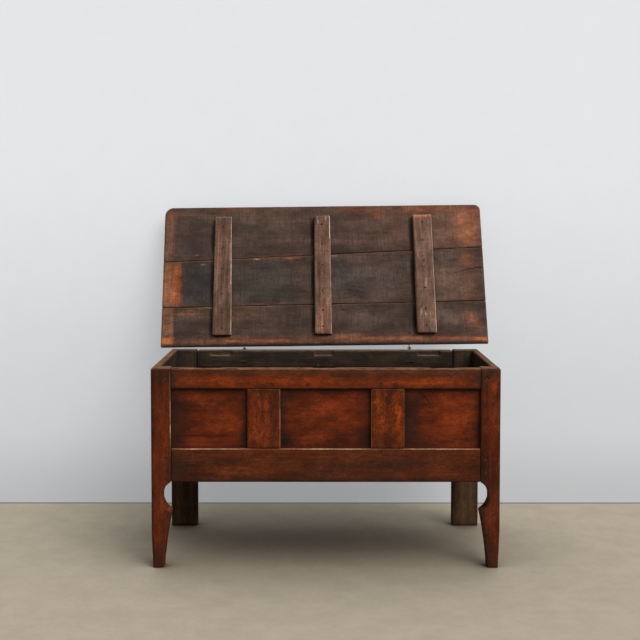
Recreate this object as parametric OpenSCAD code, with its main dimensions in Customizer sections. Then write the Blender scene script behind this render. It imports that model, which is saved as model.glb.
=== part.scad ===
// Joined oak coffer: a panelled case on four legs and a boarded lid, drawn with the lid open.
// The rails are tenoned and pegged into the corner uprights, and the lid turns on two pairs
// of linked wire cotters. +X is to the right of the front, +Y to the back, +Z is up.

/* [Case] */
// Width over the two ends
case_w = 1140; // [1000:1:1400]
// Depth from the front face to the back face
case_d = 536; // [460:1:620]
// Height of the rim above the floor
case_h = 657; // [600:1:760]
// Clear height under the bottom rails
leg_h = 283; // [240:1:310]
// Height of the top rails
top_rail_h = 67; // [60:1:85]
// Height of the bottom rails
bottom_rail_h = 111; // [90:1:125]

/* [Front frame] */
// Thickness of the front rails and muntins
front_t = 32; // [29:0.5:38]
// Width of a front corner post
post_w = 65; // [58:1:80]
// Depth of a front corner post
post_d = 60; // [52:1:75]
// Width of a front muntin
muntin_w = 110; // [80:1:130]
// Seen width of the middle front panel
middle_panel_w = 294; // [220:1:340]
// Length of the front rail tenons
front_tenon_l = 44; // [30:1:45]

/* [Back frame] */
// Thickness of the rear stiles, rails and muntin
back_t = 42; // [38:0.5:50]
// Width of a rear stile
stile_w = 97; // [85:1:120]
// Width of the rear muntin
rear_muntin_w = 92; // [70:1:120]
// Length of the rear rail tenons
rear_tenon_l = 60; // [40:1:62]
// How far the rear top rail has shrunk below the rim
rear_rail_drop = 1.5; // [0.5:0.1:4]

/* [End frames] */
// Thickness of the end rails
end_t = 26; // [25:0.5:32]
// Length of the end rail tenons
end_tenon_l = 30; // [22:1:32]

/* [Panels] */
// Thickness of a panel in its field
panel_t = 11; // [9:0.5:12]
// Thickness of a panel's thinned edge
tongue_t = 8; // [6:0.5:8.5]
// Width of the bevel round the inside of a panel
bevel_w = 28; // [15:1:45]
// Depth of the panel grooves
groove_d = 11; // [8:0.5:13]
// How far the front and rear panels lie behind the faces of their rails
panel_set = 15; // [12:0.5:15.5]
// How far the end panels lie behind the faces of their rails
end_panel_set = 9; // [6:0.5:9.5]

/* [Joints and pegs] */
// Thickness of the front and rear tenons
tenon_t = 10; // [8.8:0.1:11]
// Thickness of the end tenons
end_tenon_t = 9; // [8.8:0.1:9.5]
// Wood left above the top tenons and below the bottom tenons
haunch_h = 12; // [8:1:18]
// Length of the muntin tenons
muntin_tenon_l = 32; // [22:1:38]
// Diameter of a peg
peg_d = 8; // [6:0.5:9]
// Distance of a peg from the shoulder of its tenon
peg_in = 17; // [12:0.5:20]
// Distance of a muntin's pegs from the edge of the rail
muntin_peg_in = 12.5; // [9:0.5:18]
// Spacing of the two pegs at each end of a muntin
muntin_peg_gap = 49; // [30:1:52]
// How far the peg heads stand out
peg_proud = 0.6; // [0.3:0.1:1.5]

/* [Front legs] */
// Height of the scooped arc below the bottom rail
arc_h = 98; // [70:1:110]
// Depth of the scooped arc
arc_in = 30; // [16:1:32]
// How far the foot is drawn in from the inner face of the post
foot_in = 25; // [10:1:28]
// Hollow of the long curve between the point and the foot
calf_hollow = 3.6; // [1.5:0.1:6]
// How far the foot is drawn in on its outer face
foot_out = 5; // [2:0.5:8]
// Height at which the outer taper starts
foot_out_h = 120; // [60:1:160]
// How far the foot is drawn in at its back
foot_back = 14; // [4:1:20]

/* [Lid] */
// Width of the lid
lid_w = 1230; // [1180:1:1460]
// Depth of the lid
lid_d = 560; // [540:1:600]
// Thickness of the lid boards
lid_t = 21; // [18:0.5:26]
// How far the closed lid's rear edge lies inside the back face
lid_inset = 1.5; // [0:0.5:4]
// Radius of the lid's left front corner
lid_left_r = 34; // [10:1:50]
// Radius of the lid's right front corner
lid_right_r = 24; // [10:1:50]
// Front board joint, from the hinge edge, at the left end
joint_a_left = 335; // [300:1:360]
// Front board joint, from the hinge edge, at the right end
joint_a_right = 383; // [330:1:400]
// Rear board joint, from the hinge edge, at the left end
joint_b_left = 152; // [130:1:200]
// Rear board joint, from the hinge edge, at the right end
joint_b_right = 166; // [130:1:200]
// Gap between the lid boards
lid_board_gap = 0.8; // [0.3:0.1:0.9]

/* [Battens] */
// Width of the left batten at the hinge end
left_batten_w = 73; // [45:1:80]
// Width of the middle batten at the hinge end
middle_batten_w = 64; // [45:1:80]
// Width of the right batten at the hinge end
right_batten_w = 76; // [45:1:80]
// How much narrower the left batten is at its head
left_batten_taper = 9; // [0:0.5:15]
// How much narrower the middle batten is at its head
middle_batten_taper = 1; // [0:0.5:15]
// How much narrower the right batten is at its head
right_batten_taper = 2.5; // [0:0.5:15]
// Thickness of the battens
batten_t = 20; // [15:0.5:24]
// Distance between the two outer battens
batten_spread = 769; // [600:1:820]
// How far the pair of outer battens lies to the right of the middle
batten_shift = -1; // [-20:1:20]
// How far the middle batten lies to the left of the middle between them
middle_batten_off = 3.5; // [-20:0.5:20]
// Distance of the battens from the hinge edge
batten_back = 37; // [32:0.5:42]
// Distance of the battens from the lid's front edge
batten_front = 47; // [40:0.5:60]
// Play of a batten at each side of its notch
notch_play = 3; // [2:0.5:12]
// Play at a batten's end in the rear notches
rear_notch_play = 9; // [2:0.5:12]

/* [Hinge cotters] */
// Distance between the two hinges
hinge_spread = 617; // [450:1:660]
// How far the pair of hinges lies to the right of the middle
hinge_shift = 8; // [-20:1:20]
// Distance of the hinge line behind the back face
hinge_back = 10.5; // [10.5:0.1:13]
// Height of the hinge line over the rim
hinge_rise = 2; // [1:0.1:3]
// Opening angle of the lid from shut
lid_swing = 111.6; // [95:0.1:115]
// How far the open lid hangs out of square
lid_skew = 0.75; // [0:0.05:1]
// Radius of the cotter wire
wire_r = 1.5; // [1.2:0.05:1.5]
// Slope of the rail cotters below level
rail_cotter_dip = 38; // [34:1:42]
// Slope of the lid cotters above level
lid_cotter_rise = 28; // [26:1:32]
// Length of the turned ends of the cotters
clinch_l = 9; // [5:0.5:16]

/* [Floor] */
// Thickness of the floor boards
floor_t = 12; // [9:0.5:18]
// Section of the ledges that carry the floor
ledge_s = 22; // [18:1:30]
// Height of the ledges above the foot of the bottom rails
ledge_up = 5; // [2:0.5:12]

/* [Nails] */
// Radius of a nail's shank
nail_r = 1.5; // [1:0.1:2]
// Radius of a nail's head
nail_head_r = 4; // [3:0.1:6]
// Thickness of a nail's head
nail_head_t = 1.4; // [0.8:0.1:3]

/* [Fits] */
// Clearance of a tenon in its mortise and of a panel in its groove, on each side
fit = 0.2; // [0.1:0.05:0.3]
// Room left beyond the end of a tenon and the edge of a panel
spare = 0.8; // [0.3:0.1:0.9]
// Clearance of a peg or nail in its hole, on the radius
hole_fit = 0.15; // [0.1:0.05:0.3]
// Gap between the shut lid and the rim
seat_gap = 0.3; // [0.2:0.05:0.6]
// Running clearance between linked cotter eyes
eye_gap = 0.35; // [0.2:0.05:0.4]
// Clearance between floor boards, ledges and frame
floor_gap = 0.3; // [0.2:0.1:0.9]
// Radius of the worn arrises
arris_r = 2.5; // [1:0.1:4]

/* [Hidden] */
$fn = 48;

oak = [0.45, 0.2, 0.09];
oak_light = [0.55, 0.27, 0.12];
oak_dark = [0.24, 0.17, 0.13];
lid_oak = [0.33, 0.26, 0.22];
batten_oak = [0.48, 0.33, 0.27];
iron = [0.16, 0.14, 0.13];

// Levels and places shared by the frames
half_w = case_w / 2;
sight_lo = leg_h + bottom_rail_h;
sight_hi = case_h - top_rail_h;
inner_back = case_d - back_t;
front_span = case_w - 2 * post_w;
rear_span = case_w - 2 * stile_w;
end_span = inner_back - post_d;
end_mid = post_d + end_span / 2;
side_panel_w = (front_span - middle_panel_w) / 2 - muntin_w;
muntin_x = (middle_panel_w + muntin_w) / 2;
side_panel_x = muntin_x + (muntin_w + side_panel_w) / 2;
rear_panel_w = (rear_span - rear_muntin_w) / 2;
groove_w = tongue_t + 2 * fit;
shoulder = 2;
top_tenon = [sight_hi + groove_d + shoulder, case_h - haunch_h];
bottom_tenon = [leg_h + haunch_h, sight_lo - groove_d - shoulder];

// Pegs of a frame as [x, z] places on its face: one in each top tenon, two in each bottom tenon
bottom_third = (bottom_tenon[1] - bottom_tenon[0]) / 4;
tenon_peg_levels = [
  (top_tenon[0] + top_tenon[1]) / 2,
  bottom_tenon[0] + bottom_third,
  bottom_tenon[1] - bottom_third
];
function tenon_pegs(span) =
  [for (side = [-1, 1], level = tenon_peg_levels) [side * (span / 2 + peg_in), level]];
function muntin_pegs(x) =
  [for (side = [-1, 1], level = [sight_hi + muntin_peg_in, sight_lo - muntin_peg_in])
    [x + side * muntin_peg_gap / 2, level]];
front_peg_places = concat(tenon_pegs(front_span), muntin_pegs(-muntin_x), muntin_pegs(muntin_x));
rear_peg_places = concat(tenon_pegs(rear_span), muntin_pegs(0));
end_peg_places = tenon_pegs(end_span);

// The shut lid and the line it turns on
lid_back = case_d - lid_inset;
lid_z = case_h + seat_gap;
hinge_y = case_d + hinge_back;
hinge_z = case_h + hinge_rise;
line_tilt_y = atan(tan(lid_skew / 2));
line_tilt_z = atan(tan(lid_skew / 2) / tan(lid_swing / 2));
hinge_xs = [hinge_shift - hinge_spread / 2, hinge_shift + hinge_spread / 2];
batten_xs = [
  batten_shift - batten_spread / 2,
  batten_shift - middle_batten_off,
  batten_shift + batten_spread / 2
];
batten_ws = [left_batten_w, middle_batten_w, right_batten_w];
batten_tapers = [left_batten_taper, middle_batten_taper, right_batten_taper];
batten_l = lid_d - batten_front - batten_back;
function joint_a(x) = joint_a_left + (joint_a_right - joint_a_left) * (x / lid_w + 0.5);
function joint_b(x) = joint_b_left + (joint_b_right - joint_b_left) * (x / lid_w + 0.5);

// The part stands over the middle of its whole depth with the lid open
lean = lid_swing - 90;
open_reach = hinge_y + (lid_d + hinge_y - lid_back) * sin(lean) + (lid_t - hinge_rise) * cos(lean);
centre_y = open_reach / 2;

// Floor
ledge_z = leg_h + ledge_up;
floor_z = ledge_z + ledge_s;
floor_w = case_w - 2 * end_t - 2 * floor_gap;
floor_board_w = (floor_w - 4 * floor_gap) / 5;
floor_d = inner_back - front_t - 2 * floor_gap;
function floor_x(i) = -floor_w / 2 + i * (floor_board_w + floor_gap);

module placed() translate([0, -centre_y, 0]) children();

// A frame is drawn with its outer face at y = 0 and its inside towards +y
module on_back() translate([0, case_d, 0]) rotate([0, 0, 180]) children();
module on_left_end() translate([-half_w, end_mid, 0]) rotate([0, 0, -90]) children();
module mirrored() mirror([1, 0, 0]) children();

// Waste at a square corner that leaves a round arris
module corner_waste(r) {
  difference() {
    translate([-1, -1]) square(r + 1);
    translate([r, r]) circle(r);
  }
}

// A rectangle with its corners eased: near left, near right, far right, far left
module eased_rect(w, h, r) {
  difference() {
    square([w, h]);
    if (r[0] > 0) corner_waste(r[0]);
    if (r[1] > 0) translate([w, 0]) rotate(90) corner_waste(r[1]);
    if (r[2] > 0) translate([w, h]) rotate(180) corner_waste(r[2]);
    if (r[3] > 0) translate([0, h]) rotate(270) corner_waste(r[3]);
  }
}

// A bar along X, centred, with its section's corners eased: front foot, back foot, back head, front head
module bar(length, thick, height, r) {
  rotate([90, 0, 90]) linear_extrude(length, center = true) eased_rect(thick, height, r);
}

// Waste along an X edge and along a Y edge, for the rim of the corner posts
module edge_waste_x(length, r) rotate([90, 0, 90]) linear_extrude(length) corner_waste(r);
module edge_waste_y(length, r) rotate([-90, 0, 0]) mirror([0, 1, 0]) linear_extrude(length) corner_waste(r);

// The slot that the panels' edges run in, between two places along a frame
module plough(from, to, set) {
  translate([from, set, sight_lo - groove_d])
    cube([to - from, groove_w, sight_hi - sight_lo + 2 * groove_d]);
}

module peg_bores(places, thick) {
  for (p = places)
    translate([p[0], -1, p[1]]) rotate([-90, 0, 0]) cylinder(h = thick + 2, r = peg_d / 2 + hole_fit);
}

module pegs(places, thick) {
  for (p = places)
    translate([p[0], -peg_proud, p[1]]) rotate([-90, 0, 0])
      cylinder(h = thick + peg_proud - 1, r = peg_d / 2);
}

// A rail with its tenons: shoulders at half the span each way
module rail(span, thick, foot, head, tenon, tenon_thick, tenon_l, set, eases) {
  difference() {
    union() {
      translate([0, 0, foot]) bar(span, thick, head - foot, eases);
      translate([-span / 2 - tenon_l, set, tenon[0]])
        cube([span + 2 * tenon_l, tenon_thick, tenon[1] - tenon[0]]);
    }
    plough(-span / 2 - 1, span / 2 + 1, set);
  }
}

// What a whole frame cuts out of the uprights at its ends: mortises, grooves and peg holes
module sockets(span, thick, tenon_thick, tenon_l, set, places) {
  for (side = [0, 1], tenon = [top_tenon, bottom_tenon])
    mirror([side, 0, 0])
      translate([span / 2 - 1, set - fit, tenon[0] - fit])
        cube([tenon_l + spare + 1, tenon_thick + 2 * fit, tenon[1] - tenon[0] + 2 * fit]);
  plough(-span / 2 - groove_d, span / 2 + groove_d, set);
  peg_bores(places, thick);
}
module front_sockets() sockets(front_span, front_t, tenon_t, front_tenon_l, panel_set, front_peg_places);
module rear_sockets() sockets(rear_span, back_t, tenon_t, rear_tenon_l, panel_set, rear_peg_places);
module end_sockets() sockets(end_span, end_t, end_tenon_t, end_tenon_l, end_panel_set, end_peg_places);

// A muntin's tenon, or its mortise when grown
module muntin_tenon(w, grow) {
  half = w / 2 - groove_d - shoulder + grow;
  extra = grow > 0 ? spare : 0;
  translate([-half, panel_set - grow, sight_lo - muntin_tenon_l - extra])
    cube([2 * half, tenon_t + 2 * grow, sight_hi - sight_lo + 2 * (muntin_tenon_l + extra)]);
}

module muntin(w, thick) {
  difference() {
    union() {
      translate([-w / 2, 0, sight_lo])
        linear_extrude(sight_hi - sight_lo) eased_rect(w, thick, [1, 1, arris_r, arris_r]);
      muntin_tenon(w, 0);
    }
    plough(-w / 2 - 1, -w / 2 + groove_d, panel_set);
    plough(w / 2 - groove_d, w / 2 + 1, panel_set);
  }
}

// Half section of a panel's edge: flat outside, thinned to a tongue inside
module panel_section(w) {
  out = w / 2 + groove_d - spare;
  inn = w / 2 - bevel_w;
  polygon([
    [-out, 0], [out, 0], [out, tongue_t], [w / 2, tongue_t], [inn, panel_t],
    [-inn, panel_t], [-w / 2, tongue_t], [-out, tongue_t]
  ]);
}

// A panel of a seen width, bevelled on all four sides of its inner face
module panel(w, set) {
  h = sight_hi - sight_lo;
  translate([0, set + fit, sight_lo + h / 2]) intersection() {
    linear_extrude(h + 2 * groove_d, center = true) panel_section(w);
    rotate([0, 90, 0]) linear_extrude(w + 2 * groove_d, center = true) panel_section(h);
  }
}

module front_post() {
  inner_x = -half_w + post_w;
  arc_r = (arc_h * arc_h / 4 + arc_in * arc_in) / (2 * arc_in);
  point_z = leg_h - arc_h;
  calf_l = norm([foot_in, point_z]);
  calf_r = calf_l * calf_l / (8 * calf_hollow) + calf_hollow / 2;
  calf_off = calf_r - calf_hollow;
  difference() {
    translate([-half_w, 0, 0])
      linear_extrude(case_h) eased_rect(post_w, post_d, [arris_r + 1, 0, arris_r, 0]);
    // Scooped arc under the rail
    translate([inner_x + arc_r - arc_in, -1, leg_h - arc_h / 2])
      rotate([-90, 0, 0]) cylinder(h = post_d + 2, r = arc_r, $fn = 96);
    // Long hollow curve down to the foot
    translate([
      inner_x - foot_in / 2 + calf_off * point_z / calf_l, -1,
      point_z / 2 - calf_off * foot_in / calf_l
    ]) rotate([-90, 0, 0]) cylinder(h = post_d + 2, r = calf_r, $fn = 240);
    // Outer and back tapers of the foot
    translate([0, -1, 0]) rotate([90, 0, 0]) mirror([0, 0, 1]) linear_extrude(post_d + 2)
      polygon([[-half_w - 1, -1], [-half_w + foot_out, -1], [-half_w + foot_out, 0],
        [-half_w, foot_out_h], [-half_w - 1, foot_out_h]]);
    translate([-half_w - 1, 0, 0]) rotate([90, 0, 90]) linear_extrude(post_w + 2)
      polygon([[post_d + 1, -1], [post_d - foot_back, -1], [post_d - foot_back, 0],
        [post_d, point_z], [post_d + 1, point_z]]);
    // Worn rim
    translate([-half_w - 1, 0, case_h]) mirror([0, 0, 1]) edge_waste_x(post_w + 2, arris_r);
    translate([-half_w, -1, case_h]) mirror([0, 0, 1]) edge_waste_y(post_d + 2, arris_r);
    front_sockets();
    on_left_end() end_sockets();
  }
}

module rear_stile() {
  difference() {
    translate([-half_w, inner_back, 0])
      linear_extrude(case_h) eased_rect(stile_w, back_t, [0, 0, 0, arris_r + 1]);
    translate([-half_w, inner_back - 1, case_h]) mirror([0, 0, 1]) edge_waste_y(back_t + 2, arris_r);
    on_back() rear_sockets();
    on_left_end() end_sockets();
  }
}

// Room for the batten ends in the inner top edge of a rail
module batten_notches(from_y, to_y) {
  for (i = [0:2])
    translate([batten_xs[i] - batten_ws[i] / 2 - notch_play, from_y, case_h - batten_t - spare])
      cube([batten_ws[i] + 2 * notch_play, to_y - from_y, batten_t + spare + 1]);
}

module front_top_rail() {
  color(oak) placed() difference() {
    rail(front_span, front_t, sight_hi, case_h, top_tenon, tenon_t, front_tenon_l, panel_set,
      [arris_r, 0, arris_r, arris_r]);
    for (side = [-1, 1]) translate([side * muntin_x, 0, 0]) muntin_tenon(muntin_w, fit);
    peg_bores(front_peg_places, front_t);
    batten_notches(lid_back - lid_d + batten_front - spare, front_t + 1);
  }
}

module front_bottom_rail() {
  color(oak) placed() difference() {
    rail(front_span, front_t, leg_h, sight_lo, bottom_tenon, tenon_t, front_tenon_l, panel_set,
      [arris_r, arris_r, 0, arris_r]);
    for (side = [-1, 1]) translate([side * muntin_x, 0, 0]) muntin_tenon(muntin_w, fit);
    peg_bores(front_peg_places, front_t);
    ledge_nail_bores();
  }
}

module front_muntin(side) {
  color(oak) placed() difference() {
    translate([side * muntin_x, 0, 0]) muntin(muntin_w, front_t);
    peg_bores(front_peg_places, front_t);
  }
}

module front_panel(x, w) color(oak_light) placed() translate([x, 0, 0]) panel(w, panel_set);

module rear_top_rail() {
  color(oak_dark) placed() difference() {
    on_back() difference() {
      rail(rear_span, back_t, sight_hi, case_h - rear_rail_drop, top_tenon, tenon_t, rear_tenon_l,
        panel_set, [arris_r, 0, arris_r, arris_r]);
      muntin_tenon(rear_muntin_w, fit);
      peg_bores(rear_peg_places, back_t);
    }
    batten_notches(inner_back - 1, lid_back - batten_back + rear_notch_play);
    for (x = hinge_xs) at_hinge(x) rail_cotter_bore();
  }
}

module rear_bottom_rail() {
  color(oak_dark) placed() difference() {
    on_back() difference() {
      rail(rear_span, back_t, leg_h, sight_lo, bottom_tenon, tenon_t, rear_tenon_l, panel_set,
        [arris_r, arris_r, 0, arris_r]);
      muntin_tenon(rear_muntin_w, fit);
      peg_bores(rear_peg_places, back_t);
    }
    ledge_nail_bores();
  }
}

module rear_muntin() {
  color(oak_dark) placed() on_back() difference() {
    muntin(rear_muntin_w, back_t);
    peg_bores(rear_peg_places, back_t);
  }
}

module rear_panel(side) {
  color(oak_dark) placed() on_back()
    translate([side * (rear_panel_w + rear_muntin_w) / 2, 0, 0]) panel(rear_panel_w, panel_set);
}

module end_top_rail() {
  color(oak) on_left_end() difference() {
    rail(end_span, end_t, sight_hi, case_h, top_tenon, end_tenon_t, end_tenon_l, end_panel_set,
      [arris_r, 0, arris_r, arris_r]);
    peg_bores(end_peg_places, end_t);
  }
}

module end_bottom_rail() {
  color(oak) on_left_end() difference() {
    rail(end_span, end_t, leg_h, sight_lo, bottom_tenon, end_tenon_t, end_tenon_l, end_panel_set,
      [arris_r, arris_r, 0, arris_r]);
    peg_bores(end_peg_places, end_t);
  }
}

module end_panel() color(oak_light) on_left_end() panel(end_span, end_panel_set);

module end_pegs() color(oak) on_left_end() pegs(end_peg_places, end_t);

module floor_board(i) {
  post_in = front_span / 2 - floor_gap;
  color(oak_dark) placed() difference() {
    translate([floor_x(i), front_t + floor_gap, floor_z]) cube([floor_board_w, floor_d, floor_t]);
    // The end boards are notched round the front posts
    for (side = [0, 1]) mirror([side, 0, 0])
      translate([post_in, 0, floor_z - 1]) cube([half_w, post_d + floor_gap, floor_t + 2]);
    floor_nail_places() translate([0, 0, -1]) cylinder(h = floor_t + 2, r = nail_r + hole_fit);
  }
}

// A nail through each end of every floor board into the ledge below, standing on the board's underside
module floor_nail_places() {
  for (i = [0:4], y = [front_t + ledge_s / 2, inner_back - ledge_s / 2])
    let (x = floor_x(i) + floor_board_w / 2)
      translate([x, y, floor_z]) children();
}

module floor_ledge(y, length) {
  color(oak_dark) placed() difference() {
    translate([-length / 2, y, ledge_z]) cube([length, ledge_s, ledge_s]);
    floor_nail_places() translate([0, 0, -ledge_s * 0.7]) cylinder(h = ledge_s, r = nail_r + hole_fit);
    ledge_nail_bores();
  }
}

// Nails that hold the ledges, driven from inside the case
ledge_nail_xs = [for (i = [0:3]) (i - 1.5) * front_span * 0.25];
module ledge_nail_places() {
  for (x = ledge_nail_xs) {
    translate([x, front_t + ledge_s, ledge_z + ledge_s * 0.35]) rotate([90, 0, 0]) children();
    translate([x, inner_back - ledge_s, ledge_z + ledge_s * 0.35]) rotate([-90, 0, 0]) children();
  }
}
module ledge_nail_bores() {
  ledge_nail_places() translate([0, 0, -1]) cylinder(h = ledge_s * 1.7 + 1, r = nail_r + hole_fit);
}

// A hand-made nail along +Z with the underside of its head at z = 0
module nail(length) {
  translate([0, 0, -nail_head_t]) cylinder(h = nail_head_t, r1 = nail_head_r * 0.6, r2 = nail_head_r);
  cylinder(h = length * 0.75, r = nail_r);
  translate([0, 0, length * 0.75]) cylinder(h = length * 0.25, r1 = nail_r, r2 = nail_r * 0.3);
}

module floor_nails() {
  color(iron) placed() floor_nail_places()
    translate([0, 0, floor_t]) mirror([0, 0, 1]) nail(floor_t + ledge_s * 0.65);
}
module ledge_nails() color(iron) placed() ledge_nail_places() nail(ledge_s * 1.6);

// The lid swings up about the hinge line and hangs a little out of square on it
module opened() {
  placed() translate([0, hinge_y, hinge_z]) rotate([-lid_swing, 0, 0]) rotate([0, 0, -lid_skew])
    translate([0, -hinge_y, -hinge_z]) children();
}

// A hinge's own frame, its X along the line on which the lid turns
module at_hinge(x) {
  translate([0, hinge_y, hinge_z]) rotate([0, -line_tilt_z, line_tilt_y]) translate([x, 0, 0]) children();
}

// Plan of one lid board between two joint lines, given from the hinge edge
module lid_board(back_left, back_right, front_left, front_right) {
  translate([0, lid_back, lid_z]) linear_extrude(lid_t) polygon([
    [-lid_w / 2, -back_left], [lid_w / 2, -back_right],
    [lid_w / 2, -front_right], [-lid_w / 2, -front_left]
  ]);
}

module lid_corner_waste(r) linear_extrude(lid_t + 2) corner_waste(r);

module lid_bores() {
  batten_nail_places() cylinder(h = batten_t + lid_t, r = nail_r + hole_fit);
}

module lid_board_front() {
  half_gap = lid_board_gap / 2;
  color(lid_oak) opened() difference() {
    lid_board(joint_a_left + half_gap, joint_a_right + half_gap, lid_d, lid_d);
    translate([-lid_w / 2, lid_back - lid_d, lid_z - 1]) lid_corner_waste(lid_left_r);
    translate([lid_w / 2, lid_back - lid_d, lid_z - 1]) rotate([0, 0, 90]) lid_corner_waste(lid_right_r);
    lid_bores();
  }
}

module lid_board_middle() {
  half_gap = lid_board_gap / 2;
  color(lid_oak) opened() difference() {
    lid_board(joint_b_left + half_gap, joint_b_right + half_gap,
      joint_a_left - half_gap, joint_a_right - half_gap);
    lid_bores();
  }
}

module lid_board_rear() {
  half_gap = lid_board_gap / 2;
  color(lid_oak) opened() difference() {
    lid_board(0, 0, joint_b_left - half_gap, joint_b_right - half_gap);
    lid_bores();
    for (x = hinge_xs) at_hinge(x) lid_cotter_bore();
  }
}

// One side of a batten that runs along X, its face arris eased and its side drawn in towards the head
module batten_side(w, taper) {
  translate([0, -w / 2, 0]) rotate([0, 0, atan(taper / 2 / batten_l)])
    translate([batten_l / 2, 0, 0]) bar(batten_l * 1.1, w * 1.5, batten_t, [arris_r, 0, 0, 0]);
}

module batten(i) {
  w = batten_ws[i];
  color(batten_oak) opened() difference() {
    translate([batten_xs[i], lid_back - batten_back, lid_z - batten_t]) rotate([0, 0, -90])
      intersection() {
        translate([0, -w, 0]) cube([batten_l, 2 * w, batten_t]);
        batten_side(w, batten_tapers[i]);
        mirror([0, 1, 0]) batten_side(w, batten_tapers[i]);
      }
    batten_nail_places() translate([0, 0, -1]) cylinder(h = batten_t + 2, r = nail_r + hole_fit);
  }
}

// Two nails in each board under each batten, from the batten's face upwards
module batten_nail_places() {
  for (x = batten_xs) {
    stops = [batten_back, joint_b(x), joint_a(x), lid_d - batten_front];
    for (board = [0:2], part = [0.24, 0.76])
      translate([x, lid_back - stops[board] - part * (stops[board + 1] - stops[board]), lid_z - batten_t])
        children();
  }
}
module batten_nails() color(iron) opened() batten_nail_places() nail(batten_t + lid_t * 0.7);

// Wire work: an arc of wire in the XY plane, and a straight length along +Z
module wire_arc(r, angle) rotate_extrude(angle = angle) translate([r, 0]) circle(wire_r, $fn = 24);
module wire(length) cylinder(h = length, r = wire_r, $fn = 24);

// A slight swelling where two lengths of wire meet, its poles turned away from both
module knuckle() rotate([30, 40, 0]) sphere(r = wire_r * 1.04, $fn = 24);

leg_off = wire_r + 0.2;
bend_r = 2.5;
pin_half = wire_r + 2 * eye_gap;
rail_eye_r = 2.4 * wire_r;
link_off = 2 * wire_r + eye_gap;
lid_eye_r = link_off + 0.7;
lid_foot_half = 0.4;
bore_r = leg_off + wire_r + 0.2;

// Half of an eye and its leg in the XY plane. The eye's arc starts at its foot and has its
// centre at [away, 0], and the leg runs along +Y.
module eye_half(radius, away, leg_l) {
  across = leg_off + bend_r - away;
  up = sqrt(pow(radius + bend_r, 2) - across * across);
  turn = atan2(up, across);
  translate([away, -radius, 0]) knuckle();
  translate([away, 0, 0]) rotate([0, 0, -90]) wire_arc(radius, turn + 90);
  translate([away + radius * cos(turn), radius * sin(turn), 0]) knuckle();
  translate([away + across, up, 0]) rotate([0, 0, 180]) wire_arc(bend_r, turn);
  translate([leg_off, up, 0]) knuckle();
  translate([leg_off, up, 0]) rotate([-90, 0, 0]) wire(leg_l - up);
}

// A whole eye with a straight foot at the origin and two legs, each turned over at its end
module cotter(radius, half_foot, leg_l, clinch_turn) {
  translate([-half_foot, 0, 0]) rotate([0, 90, 0]) wire(2 * half_foot);
  for (side = [0, 1]) mirror([side, 0, 0]) {
    translate([0, radius, 0]) eye_half(radius, half_foot, leg_l - radius);
    translate([leg_off, leg_l, 0]) rotate([0, clinch_turn[side], 0]) clinch();
  }
}

// The turned end of a leg: from +Y round to +X
module clinch() {
  knuckle();
  translate([bend_r, bend_r, 0]) knuckle();
  translate([bend_r, 0, 0]) rotate([0, 0, 90]) wire_arc(bend_r, 90);
  translate([bend_r, bend_r, 0]) rotate([0, 90, 0]) wire(clinch_l);
}

// Frames of the two cotters: local +Y runs along the legs, away from the hinge line
module dipped() rotate([rail_cotter_dip, 0, 0]) rotate([0, 0, 180]) children();
module raised() rotate([-lid_cotter_rise, 0, 0]) rotate([0, 0, 180]) children();

module rail_cotter_bore() dipped() rotate([-90, 0, 0]) cylinder(h = 2 * back_t + 40, r = bore_r, $fn = 32);
module lid_cotter_bore() raised() rotate([-90, 0, 0]) cylinder(h = 120, r = bore_r, $fn = 32);

// The rail's cotter: a flat-ended eye whose end is the pin, and two legs clinched inside the rail
module rail_cotter(x) {
  out_y = (hinge_back + back_t + x * sin(line_tilt_y)) / cos(rail_cotter_dip) + bend_r;
  color(iron) placed() at_hinge(x) dipped() cotter(rail_eye_r, pin_half, out_y, [0, 0]);
}

// The lid's cotter: a round eye linked through the other, and two legs clinched on top of the lid
module lid_cotter(x) {
  rise = lid_z + lid_t - hinge_z - x * sin(line_tilt_z);
  out_y = rise / sin(lid_cotter_rise) + bend_r + leg_off / tan(lid_cotter_rise);
  color(iron) opened() at_hinge(x) raised() translate([0, -link_off, 0]) rotate([0, 90, 0])
    cotter(lid_eye_r, lid_foot_half, out_y + link_off, [90, 270]);
}

color(oak) placed() front_post();  // front_post_left
color(oak) placed() mirrored() front_post();  // front_post_right
color(oak_dark) placed() rear_stile();  // rear_stile_left
color(oak_dark) placed() mirrored() rear_stile();  // rear_stile_right
front_top_rail();
front_bottom_rail();
front_muntin(-1);  // front_muntin_left
front_muntin(1);  // front_muntin_right
front_panel(-side_panel_x, side_panel_w);  // front_panel_left
front_panel(0, middle_panel_w);  // front_panel_middle
front_panel(side_panel_x, side_panel_w);  // front_panel_right
rear_top_rail();
rear_bottom_rail();
rear_muntin();
rear_panel(1);  // rear_panel_left
rear_panel(-1);  // rear_panel_right
placed() end_top_rail();  // end_top_rail_left
placed() end_bottom_rail();  // end_bottom_rail_left
placed() end_panel();  // end_panel_left
placed() mirrored() end_top_rail();  // end_top_rail_right
placed() mirrored() end_bottom_rail();  // end_bottom_rail_right
placed() mirrored() end_panel();  // end_panel_right
floor_board(0);  // floor_board_1
floor_board(1);  // floor_board_2
floor_board(2);  // floor_board_3
floor_board(3);  // floor_board_4
floor_board(4);  // floor_board_5
floor_ledge(front_t, front_span - 2 * floor_gap);  // floor_ledge_front
floor_ledge(inner_back - ledge_s, floor_w);  // floor_ledge_rear
floor_nails();
ledge_nails();
color(oak_light) placed() pegs(front_peg_places, front_t);  // front_pegs
color(oak_dark) placed() on_back() pegs(rear_peg_places, back_t);  // rear_pegs
placed() end_pegs();  // end_pegs_left
placed() mirrored() end_pegs();  // end_pegs_right
lid_board_front();
lid_board_middle();
lid_board_rear();
batten(0);  // batten_left
batten(1);  // batten_middle
batten(2);  // batten_right
batten_nails();
rail_cotter(hinge_xs[0]);  // rail_cotter_left
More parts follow.
